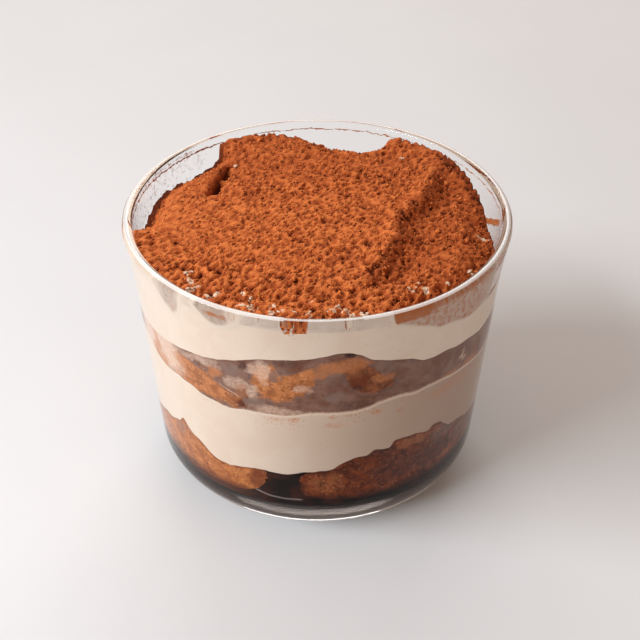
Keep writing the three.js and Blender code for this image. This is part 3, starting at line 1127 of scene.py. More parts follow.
@dataclass(frozen=True)
class CocoaPowder(Finish):
    """Dry cocoa powder: warm on its crumbs, darkened by painted shade in its pits and shaded places, cream
    showing where it is bare.
    """

    roughness: float = 0.95
    shine: float = 0.1
    # light, mid and the third colour below go from the crumbs' unshaded colour through light painted shade,
    # and darker clouds, to deep painted shade
    light: Colour = (0.70, 0.198, 0.052)
    mid: Colour = (0.41, 0.090, 0.023)
    painted_shade: Colour = (0.075, 0.012, 0.003)
    bare: Colour = (0.80, 0.61, 0.45)
    stroke_angle: float = 54  # degrees from +X in which its small pits are drawn out

    def dress(self, tree: Tree) -> Any:
        """Builds the nodes.

        Args:
            tree: the material's tree.

        Returns:
            The shader's socket.
        """
        # the attribute read here is painted shade from 0 to 1, in pits, the crease, steep slopes and the edge
        # by the glass
        painted_shade = reading(tree, "painted_shade")
        cloudy = cloud_mask(tree, size=2.6)
        shade_and_clouds = plus(tree, ramp(tree, painted_shade, 0.0, 0.45), times(tree, cloudy, 0.3))
        dry = blend_colours(tree, sums(tree, "MINIMUM", shade_and_clouds, 1.0), self.light, self.mid)
        sunk = blend_colours(tree, ramp(tree, painted_shade, 0.4, 1.0), dry, self.painted_shade)
        turn = -math.radians(self.stroke_angle)
        # small drawn-out pits painted dark as shade, with a matching dip in the bump
        strokes = pore_mask(tree, size=0.85, share=0.6, reach=0.42, Angle=turn, Squeeze=0.5)
        thin = plus(tree, times(tree, cloudy, 0.5), 0.45)
        struck = blend_colours(tree, times(tree, strokes, thin), sunk, self.painted_shade)
        colour = blend_colours(tree, ramp(tree, reading(tree, "bare"), 0.35, 0.65), struck, self.bare)
        grain = minus(tree, grain_height(tree, size=0.35), times(tree, strokes, 0.6))
        return self.coat(tree, colour, Normal=self.bump(tree, grain, distance=0.22, strength=0.8))


@dataclass(frozen=True)
class DustFilm(Finish):
    """Cocoa dust and thin cream clinging to clear glass, in fine soft streaks."""

    roughness: float = 0.8
    grey: Colour = (0.37, 0.26, 0.205)
    cream: Colour = (0.79, 0.66, 0.545)
    cocoa: Colour = (0.46, 0.155, 0.058)
    streak_size: float = 0.9

    def dress(self, tree: Tree) -> Any:
        """Builds the nodes.

        Args:
            tree: the material's tree.

        Returns:
            The shader's socket.
        """
        place = add_node(tree, "ShaderNodeTexCoord").outputs["Object"]
        drawn_up = add_node(tree, "ShaderNodeMapping", {"Vector": place, "Scale": (1, 1, 0.7)}).outputs[0]
        noise = {"Vector": drawn_up, "Scale": per_metre(self.streak_size), "Detail": 5.0, "Roughness": 0.7}
        streaks = add_node(tree, "ShaderNodeTexNoise", noise).outputs["Fac"]
        sway = minus(tree, streaks, 0.5)
        calm = minus(tree, 1.0, reading(tree, "tone"))
        swayed = times(tree, times(tree, sway, 1.6), calm)
        tone = plus(tree, reading(tree, "tone"), swayed, clamp=True)
        milky = blend_colours(tree, tone, self.grey, self.cream)
        dusty = plus(tree, reading(tree, "dusty"), times(tree, sway, 1.5))
        share = times(tree, ramp(tree, dusty, 0.25, 0.85), ramp(tree, reading(tree, "dusty"), 0.0, 0.1))
        colour = blend_colours(tree, share, milky, self.cocoa)
        # cover 1 leaves nothing clear, and lower covers leave only the densest streaks
        spread = plus(tree, streaks, times(tree, reading(tree, "cover"), 0.9))
        dense = ramp(tree, spread, 0.62, 1.12)
        alpha = times(tree, dense, ramp(tree, reading(tree, "cover"), 0.0, 0.12))
        return self.coat(tree, colour, Alpha=alpha)


@dataclass(frozen=True)
class PaleFloor(Finish):
    """The plain pale table top."""

    roughness: float = 0.7
    shine: float = 0.2
    colour: Colour = (0.70, 0.71, 0.72)
    shade: float = 0.985

    def dress(self, tree: Tree) -> Any:
        """Builds the nodes and gives the shader's socket."""
        shaded = tuple(self.shade * part for part in self.colour)
        return self.coat(tree, clouds(tree, self.colour, shaded, size=60))


GLASS = ClearGlass("clear glass")
# painted highlight: the lip's glass is made milky and rough so that its top reads as the bright line along
# the rim
LIP_HIGHLIGHT = ClearGlass("lip of the glass", tint=(0.93, 0.92, 0.91), gloss=(1, 1, 1), roughness=0.3, clearness=0.45)
CREAM = Cream("whipped cream")
FLECKED = Cream("cream under powder", light=(0.70, 0.54, 0.41), deep=(0.60, 0.39, 0.26))
STAINED = StainedFilm("stained cream")
COCOA = CocoaPowder("cocoa powder")
COFFEE = Coffee("wet coffee")
DUST = DustFilm("dust on glass")
SPONGE_LEFT = Sponge("sponge, lower left", crumb=(0.56, 0.195, 0.055), soaked=(0.37, 0.112, 0.030))
SPONGE_RIGHT = Sponge(
    "sponge, lower right",
    crumb=(0.22, 0.046, 0.011),
    soaked=(0.078, 0.015, 0.004),
    pore=(0.020, 0.005, 0.002),
    bright=(0.42, 0.15, 0.07),
)
SPONGE_PALE = Sponge("sponge, upper")
SPONGE_DARK = Sponge(
    "sponge, upper dark",
    crumb=(0.31, 0.100, 0.036),
    soaked=(0.15, 0.042, 0.014),
    pore=(0.050, 0.013, 0.005),
    bright=(0.36, 0.15, 0.07),
)


# ---- starting shapes, one unit across, that the pieces are fitted from ----


def turn_unit_drum(segments: int, rows: int, rings: int) -> Piece:
    """A closed drum of radius 1 and height 1, drawn out from its middle ring by ring.

    Args:
        segments: points round it.
        rows: rows of faces up its side.
        rings: rings of faces across each end.

    Returns:
        The drum, standing at the origin.
    """
    bpy.ops.object.select_all(action="DESELECT")
    bpy.ops.mesh.primitive_circle_add(vertices=segments, radius=1 / rings, fill_type="TRIFAN")
    drum = bpy.context.active_object
    with editing(drum, np.hypot(*points_of(drum, 1.0)[:, :2].T) > 0.5 / rings):
        for ring in range(2, rings + 1):
            draw_out(scale=ring / (ring - 1))
        for _ in range(rows):
            draw_out(lift=1 / rows)
        for ring in range(rings - 1, 0, -1):
            draw_out(scale=ring / (ring + 1))
        draw_out()
        bpy.ops.mesh.merge(type="CENTER")
    face_outwards(drum)
    return drum


def draw_out(scale: float = 1.0, lift: float = 0.0) -> None:
    """Extrudes the selected loop and makes it wider or narrower about the upright axis, or lifts it."""
    bpy.ops.mesh.extrude_region_move(TRANSFORM_OT_translate={"value": (0, 0, lift)})
    if scale != 1.0:
        bpy.ops.transform.resize(value=(scale, scale, 1), center_override=(0, 0, 0))


def turn_unit_disc(cuts: int) -> Piece:
    """An even net of triangles over a disc of radius 1.

    Args:
        cuts: parts into which each side of the first six triangles is cut.

    Returns:
        The disc, level at the origin and facing up.
    """
    bpy.ops.object.select_all(action="DESELECT")
    bpy.ops.mesh.primitive_circle_add(vertices=6, radius=1, fill_type="TRIFAN")
    disc = bpy.context.active_object
    with editing(disc):
        bpy.ops.mesh.subdivide(number_cuts=cuts - 1)
    points = points_of(disc, 1.0)
    # the hexagon's straight sides are swelled out to the round, from its corner on +Y onwards
    from_corner = np.degrees(np.arctan2(-points[:, 0], points[:, 1]))
    half = math.radians(30)
    turn = np.radians(from_corner % 60) - half
    share = np.hypot(points[:, 0], points[:, 1]) * np.cos(turn) / math.cos(half)
    side = 0.5 + np.tan(turn) / (2 * math.tan(half))
    angle = np.radians(60 * (np.floor(from_corner / 60) + np.where(share > 1e-6, side, 0)))
    move_points(disc, np.stack([-share * np.sin(angle), share * np.cos(angle), 0 * share], 1), 1.0)
    return disc


# ---- the cup ----


@dataclass
class GlassCup:
    """The clear cup: one turned wall on a thick base, with a round rim."""

    turns: int = 480
    heel_steps: int = 18
    fillet_steps: int = 14
    rim_steps: int = 14
    wall_steps: int = 12
    # where the lip's painted highlight lies: how far in from the outside and how deep from the top, smaller
    # in front
    lip_share: float = 0.65
    lip_depth: float = 0.3
    front_lip_share: float = 0.5
    front_lip_depth: float = 0.1
    front_lip: tuple[float, float] = (2, 26)  # azimuth of its middle and half its width in degrees

    def arc(self, line: float, floor: float, radius: float, steps: int) -> list[tuple[float, float]]:
        """Radius and height along the corner between a level floor and the leaning wall."""
        r, z = CUP.corner(line, floor, radius)
        angles = np.linspace(-math.pi / 2, -math.atan(CUP.lean), steps + 1)
        return [(r + radius * math.cos(a), z + radius * math.sin(a)) for a in angles]

    def section(self) -> list[tuple[float, float]]:
        """Radius and height round the glass, from the middle of the foot to the middle of the floor."""
        heel = self.arc(CUP.foot_line, 0, CUP.heel_radius, self.heel_steps)
        fillet = self.arc(CUP.foot_line - CUP.wall, CUP.floor, CUP.fillet, self.fillet_steps)
        rim_middle, rim_radius = CUP.rim_radius - CUP.wall / 2, CUP.wall / 2
        rim = [
            (rim_middle + rim_radius * math.cos(a), CUP.rim_z + rim_radius * math.sin(a))
            for a in np.linspace(0, math.pi, self.rim_steps + 1)
        ]
        steps = self.wall_steps * 2
        outside = [(float(CUP.outer(z)), z) for z in np.linspace(heel[-1][1], CUP.rim_z, steps)]
        inside = [(float(CUP.inner(z)), z) for z in np.linspace(CUP.rim_z, fillet[-1][1], steps)]
        return [(0, 0), *heel, *outside[1:-1], *rim, *inside[1:-1], *fillet[::-1], (0, CUP.floor)]

    def build(self) -> None:
        """Draws the section out point by point and spins it."""
        bpy.ops.object.select_all(action="DESELECT")
        bpy.ops.mesh.primitive_plane_add(size=MM)
        cup = bpy.context.active_object
        section = self.section()
        with editing(cup):
            bpy.ops.mesh.merge(type="CENTER")
            for (r0, z0), (r1, z1) in zip(section, section[1:]):
                step = ((r1 - r0) * MM, 0, (z1 - z0) * MM)
                bpy.ops.mesh.extrude_region_move(TRANSFORM_OT_translate={"value": step})
            bpy.ops.mesh.select_all(action="SELECT")
            bpy.ops.mesh.spin(steps=self.turns, angle=2 * math.pi, center=(0, 0, 0), axis=(0, 0, 1))
        face_outwards(cup)
        hand_over(cup, "clear_cup", GLASS.material(), ["glass_cup"], sharpest=60)
        self.paint_lip_highlight(cup)

    def paint_lip_highlight(self, cup: Piece) -> None:
        """Gives the top of the round lip a milky, rough finish, a painted highlight along the rim.

        Args:
            cup: the finished cup.
        """
        cup.data.materials.append(LIP_HIGHLIGHT.material())
        middles = np.empty(3 * len(cup.data.polygons))
        cup.data.polygons.foreach_get("center", middles)
        x, y, z = middles.reshape(-1, 3).T / MM
        middle, half = self.front_lip
        in_front = bell(turn_between(np.degrees(np.arctan2(x, -y)), middle) / half)
        inner_edge = CUP.rim_radius - mix(self.lip_share, self.front_lip_share, in_front) * CUP.wall
        depth = mix(self.lip_depth, self.front_lip_depth, in_front)
        lip = (z > CUP.rim_z + CUP.wall / 2 - depth) & (np.hypot(x, y) > inner_edge)
        cup.data.polygons.foreach_set("material_index", lip.astype(np.int32))


# ---- layers ----


@dataclass
class Layer:
    """A layer that fills the cup from wall to wall, fitted from a unit drum."""

    name: str
    node: str
    slot: str
    finish: Finish
    sinking: Sinking
    top_line: WallLine
    top_surface: HillySurface | None
    bottom_line: WallLine | None = None
    bottom_surface: HillySurface | None = None
    rows: int = 40
    rings: int = 12
    segments: int = 720
    edge_share: float = 0.8

    def top(self, x: Floats, y: Floats, share: Floats, azimuth: Floats) -> Floats:
        """Height of the upper surface away from the wall."""
        return self.top_surface.height(x, y)

    def bottom(self, x: Floats, y: Floats) -> Floats:
        """Height of the lower surface away from the wall."""
        if self.bottom_surface is None:
            return np.full(np.shape(x), CUP.floor - self.sinking.value)
        return self.bottom_surface.height(x, y)

    def notes(self, azimuth: Floats, z: Floats, share: Floats) -> dict[str, Floats]:
        """The numbers that the finish reads at each point."""
        return {}

    def build(self) -> None:
        """Turns the drum up and fits it between its lines and surfaces."""
        drum = turn_unit_drum(self.segments, self.rows, self.rings)
        unit = points_of(drum, 1.0)
        azimuth, level = azimuth_of(unit), unit[:, 2]
        flat = np.clip(np.hypot(unit[:, 0], unit[:, 1]), 0, 1)
        share = np.where(flat > 0.9999, 1.0, 1 - (1 - flat) ** 2)  # rings lie closer near the wall
        sunk = self.sinking.value
        high = self.top_line.at(azimuth)
        if self.bottom_line is None:
            low, climb = np.full(len(unit), CUP.floor - sunk), level**2
        else:
            low, climb = self.bottom_line.at(azimuth), level
        wall_z = mix(low, high, climb)
        place = on_wall(azimuth, share * CUP.inner(wall_z, sunk), wall_z)
        body = np.where(
            level > 0.5,
            self.top(place[:, 0], place[:, 1], share, azimuth),
            self.bottom(place[:, 0], place[:, 1]),
        )
        place[:, 2] = mix(body, wall_z, smooth(self.edge_share, 1, share))
        move_points(drum, place)
        for key, values in self.notes(azimuth, place[:, 2], share).items():
            note(drum, key, values)
        hand_over(drum, self.name, self.finish.material(), [self.node])


@dataclass
class CoffeePool(Layer):
    """The coffee on the floor, browner under the left finger, with a pale painted highlight line in the gap.
    """

    # azimuth and height along which the painted highlight line runs
    glint_line: tuple[tuple[float, float], ...] = (
        (-23, 12.8),
        (-21.5, 12.2),
        (-16.8, 11.2),
        (-11.4, 10.9),
        (-4.6, 11.1),
    )
    glint_half: float = 0.34
    glint_strength: float = 0.75
    glint_ends: tuple[float, float] = (2, 1.5)  # degrees in which it fades out at its left and right end
    warm_middle: float = -38
    warm_half: float = 26
    warm_top: tuple[float, float] = (10, 15)
    warm_strength: float = 0.85

    def notes(self, azimuth: Floats, z: Floats, share: Floats) -> dict[str, Floats]:
        """Where the coffee is browner and where the painted highlight line runs.

        Args:
            azimuth: azimuths of the points.
            z: their heights.
            share: 0 in the middle and 1 at the glass; not used.

        Returns:
            The numbers that the finish reads, by name.
        """
        warm = bell((azimuth - self.warm_middle) / self.warm_half) * (1 - smooth(*self.warm_top, z))
        at, height = np.array(self.glint_line).T
        left, right = self.glint_ends
        along = smooth(at[0], at[0] + left, azimuth) * (1 - smooth(at[-1] - right, at[-1], azimuth))
        # painted highlight: a pale line in the gap between the lower fingers
        film = self.glint_strength * along * bell((z - np.interp(azimuth, at, height)) / self.glint_half)
        return {"warm": self.warm_strength * warm, "film": film}


@dataclass
class CreamLayer(Layer):
    """A cream layer, which knows where it is dusted, where it thins out to a smear and how much painted shade
    its right side gets.
    """

    dusted_line: WallLine | None = None
    smeared_above: float = 60.4
    # strength of the brown-grey painted shade on the right side
    stained_and_shaded: float = 0.0
    smear_depth: float = 0.5
    smear_stretch: tuple[float, float] = (-2, 60)  # azimuth of its middle and half its width in degrees
    # azimuths over which that painted shade rises and falls away
    right_shade_rise: tuple[float, float] = (-45, 55)
    right_shade_fall: tuple[float, float] = (95, 150)

    def notes(self, azimuth: Floats, z: Floats, share: Floats) -> dict[str, Floats]:
        """The dusting under the stained layer, the smear on the glass below the rim and the painted shade on
        the right side.

        Args:
            azimuth: azimuths of the points.
            z: their heights.
            share: 0 in the middle and 1 at the glass; not used.

        Returns:
            The numbers that the finish reads, by name.
        """
        dusted, brown = np.zeros(len(z)), np.zeros(len(z))
        middle, half = self.smear_stretch
        smear = smooth(self.smeared_above, self.smeared_above + self.smear_depth, z)
        smear *= bell(turn_between(azimuth, middle) / half)
        # painted shade, brown-grey, over the right side of the layer
        stain = self.stained_and_shaded * smooth(*self.right_shade_rise, azimuth) * (1 - smooth(*self.right_shade_fall, azimuth))
        if self.dusted_line is not None:
            below = self.dusted_line.at(azimuth) - z
            reach = 0.25 + 0.75 * bell(turn_between(azimuth, 8) / 45)
            dusted = 0.75 * reach * (1 - smooth(0.6, 5.5, below)) * smooth(0.2, 0.7, below)
            brown = wall_tints(azimuth, z, DUSTINGS)["brown"] * smooth(0.4, 0.9, below)
            # the painted shade is weaker just under the dusted line
            stain = stain * (0.35 + 0.65 * smooth(0.35, 0.75, below))
        return {"dusted": dusted, "smear": smear, "stain": stain, "brown": brown}


@dataclass
class UpperCream(CreamLayer):
    """The top cream layer, whose surface lies under the powder."""

    powder: "CocoaForm | None" = None

    def top(self, x: Floats, y: Floats, share: Floats, azimuth: Floats) -> Floats:
        """Height of the upper surface away from the wall."""
        return self.powder.base(x, y, share, azimuth) - self.powder.depth


@dataclass
class StainedLayer(Layer):
    """The coffee-stained film of cream round the upper fingers."""

    def notes(self, azimuth: Floats, z: Floats, share: Floats) -> dict[str, Floats]:
        """The stains, a darker upper edge and a pale foot at the front.

        Args:
            azimuth: azimuths of the points.
            z: their heights.
            share: 0 in the middle and 1 at the glass; not used.

        Returns:
            The numbers that the finish reads, by name.
        """
        found = wall_tints(azimuth, z)
        rough = Roughcast(21)
        cloud = 0.5 + 0.5 * rough.waves(near_wall(azimuth, z), 2.5)
        foot = 1 - smooth(0.2, 0.6, z - CREAM_LINE.at(azimuth))
        found["pale"] = np.maximum(found["pale"], 0.6 * foot * bell(turn_between(azimuth, 10) / 70))
        head = 1 - smooth(0.1, 1.0, STAINED_LINE.at(azimuth) - z)
        found["dark"] = np.maximum(found["dark"], 0.3 * cloud * head * (1 - found["pale"]))
        return found


# ---- sponge fingers ----


@dataclass
class PressedFinger:
    """A sponge finger that lies front to back, its ends pressed flat against the glass."""

    name: str
    node: str
    slot: str
    finish: Finish
    sinking: Sinking
    cuts: int = 60
    length_rows: int = 6

    def face(self, turn: Floats, share: Floats, back: Floats) -> tuple[Floats, Floats]:
        """Azimuth and height of an end's points, as seen at the front.

        Args:
            turn: angle round the end's middle, in radians.
            share: 0 at the end's middle and 1 at its outline.
            back: 0 for the front end and 1 for the back one.

        Returns:
            The azimuths and the heights.
        """
        raise NotImplementedError

    def notes(self, azimuth: Floats, z: Floats, share: Floats) -> dict[str, Floats]:
        """The numbers that the finish reads at each point."""
        return wall_tints(azimuth, z) | {"veil": 0 * z, "soaked": 0 * z}

    def build(self) -> None:
        """Draws the two ends, bridges them and presses them on the glass."""
        finger = turn_unit_disc(self.cuts)
        with editing(finger):
            bpy.ops.mesh.duplicate_move(TRANSFORM_OT_translate={"value": (0, 0, 1)})
            bpy.ops.mesh.flip_normals()
        outline = np.hypot(*points_of(finger, 1.0)[:, :2].T) > 1 - 0.4 / self.cuts
        with editing(finger, outline):
            bpy.ops.mesh.bridge_edge_loops(number_cuts=self.length_rows)
        face_outwards(finger)
        unit = points_of(finger, 1.0)
        share = np.minimum(1, np.hypot(unit[:, 0], unit[:, 1]))
        back = unit[:, 2]
        azimuth, z = self.face(np.arctan2(unit[:, 1], unit[:, 0]), share, back)
        end = on_wall(azimuth, CUP.inner(z, self.sinking.value), z)
        place = end * np.stack([0 * z + 1, 1 - 2 * back, 0 * z + 1], 1)
        move_points(finger, place)
        face_outwards(finger)
        if len(finger.data.vertices) != len(unit):
            raise RuntimeError(f"{self.name}: points fell together")
        for key, values in self.notes(azimuth, z, share).items():
            note(finger, key, values)
        hand_over(finger, self.name, self.finish.material(), [self.node])


@dataclass
class LowerFinger(PressedFinger):
    """A finger at the bottom, from just above the floor to behind the lower cream's edge."""

    left: tuple[float, float] = (0, 0)
    right: tuple[float, float] = (0, 0)
    bottom: float = 10.8
    squareness: float = 4.0
    hidden: float = 1.2

    def face(self, turn: Floats, share: Floats, back: Floats) -> tuple[Floats, Floats]:
        """Azimuth and height over a block with round corners between its left and right ends.

        Args:
            turn: angle round the end's middle, in radians.
            share: 0 at the end's middle and 1 at its outline.
            back: 0 for the front end and 1 for the back one.

        Returns:
            The azimuths and the heights.
        """
        power = self.squareness
        reach = (np.abs(np.cos(turn)) ** power + np.abs(np.sin(turn)) ** power) ** (-1 / power)
        across, up = share * reach * np.cos(turn), share * reach * np.sin(turn)
        rise = 0.5 + 0.5 * up
        start = mix(self.left[0], self.left[1], rise)
        stop = mix(self.right[0], self.right[1], rise)
        azimuth = mix(start, stop, 0.5 + 0.5 * across)
        rough = Roughcast(5)
        place = near_wall(azimuth, 20 * rise)
        azimuth = azimuth + 0.8 * share**4 * np.abs(across) ** 4 * rough.waves(place, 1.6)
        seen_at = mix(azimuth, 180 - azimuth, back)
        low = self.bottom + 0.45 * rough.waves(place * [1, 1, 0], 3.5) + 1.6 * smooth(50, 75, azimuth)
        high = BISCUIT_LINE.at(seen_at) + self.hidden
        return azimuth, mix(low, high, rise)

    def notes(self, azimuth: Floats, z: Floats, share: Floats) -> dict[str, Floats]:
        """A dark soaked foot, and a little stain along the outline.

        Args:
            azimuth: azimuths of the points.
            z: their heights.
            share: 0 at the end's middle and 1 at its outline; not used.

        Returns:
            The numbers that the finish reads, by name.
        """
        rough = Roughcast(8)
        place = near_wall(azimuth, z)
        foot = 1 - smooth(-0.4, 1.8, z - self.bottom - 0.7 - 0.9 * rough.waves(place, 3.0))
        head = 1 - smooth(0.1, 0.9, BISCUIT_LINE.at(azimuth) - z + 0.5 * rough.waves(place + 5, 2.0))
        soaked = np.maximum(0.8 * foot, 0.45 * head)
        return wall_tints(azimuth, z) | {"veil": 0 * z, "soaked": soaked}


@dataclass
class UpperFinger(PressedFinger):
    """A finger in the stained layer, with the outline in which it shows on the glass."""

    outline: tuple[tuple[float, float], ...] = ()
    tip: tuple[float, float] | None = None
    veil_depth: float = 1.6
    rough_edge: float = 0.35
    lined: tuple[float, float] | None = None

    def middle(self) -> Floats:
        """The middle of the outline, across and up."""
        return np.mean(np.array(self.outline), axis=0)

    def face(self, turn: Floats, share: Floats, back: Floats) -> tuple[Floats, Floats]:
        """Azimuth and height over the outline, given as distances across and up.

        Args:
            turn: angle round the outline's middle, in radians.
            share: 0 at its middle and 1 at the outline.
            back: 0 for the front end and 1 for the back one; not used.

        Returns:
            The azimuths and the heights.
        """
        corners = np.array(self.outline)
        middle = self.middle()
        angles = np.arctan2(*(corners - middle).T[::-1])
        order = np.argsort(angles)
        x = np.interp(turn, angles[order], corners[order, 0], period=2 * math.pi)
        z = np.interp(turn, angles[order], corners[order, 1], period=2 * math.pi)
        rough = Roughcast(17)
        wobble = 1 + self.rough_edge * 0.35 * rough.waves(np.stack([x, z, 0 * x], 1), 1.7)
        x = middle[0] + share * wobble * (x - middle[0])
        z = middle[1] + share * wobble * (z - middle[1])
        return np.degrees(np.arcsin(x / CUP.inner(z))), z

    def notes(self, azimuth: Floats, z: Floats, share: Floats) -> dict[str, Floats]:
        """Stained cream veils the outline, and a tip may be soaked darker.

        Args:
            azimuth: azimuths of the points.
            z: their heights.
            share: 0 at the end's middle and 1 at its outline.

        Returns:
            The numbers that the finish reads, by name.
        """
        rough = Roughcast(9)
        place = near_wall(azimuth, z)
        cloud = rough.waves(place, 2.4)
        extent = 0.5 * float(np.ptp(np.array(self.outline), axis=0).min())
        depth = self.veil_depth / extent
        veil = smooth(1 - depth, 1, share + 0.25 * depth * cloud)
        soaked = 0 * z
        if self.tip is not None:
            away = np.hypot(place[:, 0] - self.tip[0], z - self.tip[1])
            soaked = 1 - smooth(0.8, 2.6, away)
            veil = veil * smooth(1.5, 4, away)
        tints = wall_tints(azimuth, z)
        if self.lined is not None:
            start, end = self.lined
            upper = smooth(start, start + 3, azimuth) * (1 - smooth(end - 1.5, end, azimuth))
            upper = upper * smooth(0.8, 1.6, z - CREAM_LINE.at(azimuth))
            tints["pale"] = np.maximum(tints["pale"], 0.8 * upper * bell((share - 0.95) / 0.05))
        return tints | {"veil": veil, "soaked": soaked}


@dataclass
class WallCrumb:
    """The small bit of sponge caught against the glass on the right."""

    azimuth: float = 62
    z: float = 41.6
    half_sizes: tuple[float, float, float] = (2.2, 1.9, 3.1)
    tilt: float = 24
    depth: float = 1.2  # from the glass to its middle

    def build(self) -> None:
        """Crumples a ball and presses it flat on the wall."""
        bpy.ops.object.select_all(action="DESELECT")
        bpy.ops.mesh.primitive_ico_sphere_add(subdivisions=5, radius=MM)
        crumb = bpy.context.active_object
        with editing(crumb):
            bpy.ops.transform.resize(value=self.half_sizes, center_override=(0, 0, 0))
        ball = points_of(crumb)
        rough = Roughcast(31)
        ball *= (1 + 0.12 * rough.waves(ball, 1.5))[:, None]
        tilt = math.radians(self.tilt)
        across = ball[:, 0] * math.cos(tilt) + ball[:, 2] * math.sin(tilt)
        z = self.z + ball[:, 2] * math.cos(tilt) - ball[:, 0] * math.sin(tilt)
        radius = float(CUP.inner(self.z)) - self.depth + ball[:, 1]
        azimuth = self.azimuth + np.degrees(across / WALL_ARC)
        radius = np.minimum(radius, CUP.inner(z, Sinking.UPPER_SPONGE.value))
        move_points(crumb, on_wall(azimuth, radius, z))
        face_outwards(crumb)
        share = np.linalg.norm(ball / np.array(self.half_sizes), axis=1)
        wide, _, tall = self.half_sizes
        note(crumb, "veil", 0.5 * smooth(0.72, 0.9, np.hypot(ball[:, 0] / wide, ball[:, 2] / tall)))
        note(crumb, "soaked", 0.05 + 0.25 * (1 - smooth(0.1, 0.6, share)))
        for tint in Tint:
            note(crumb, tint.name.lower(), 0 * share)
        hand_over(crumb, "sponge_crumb", SPONGE_DARK.material(), ["biscuit_crumb"])


# ---- the powder ----


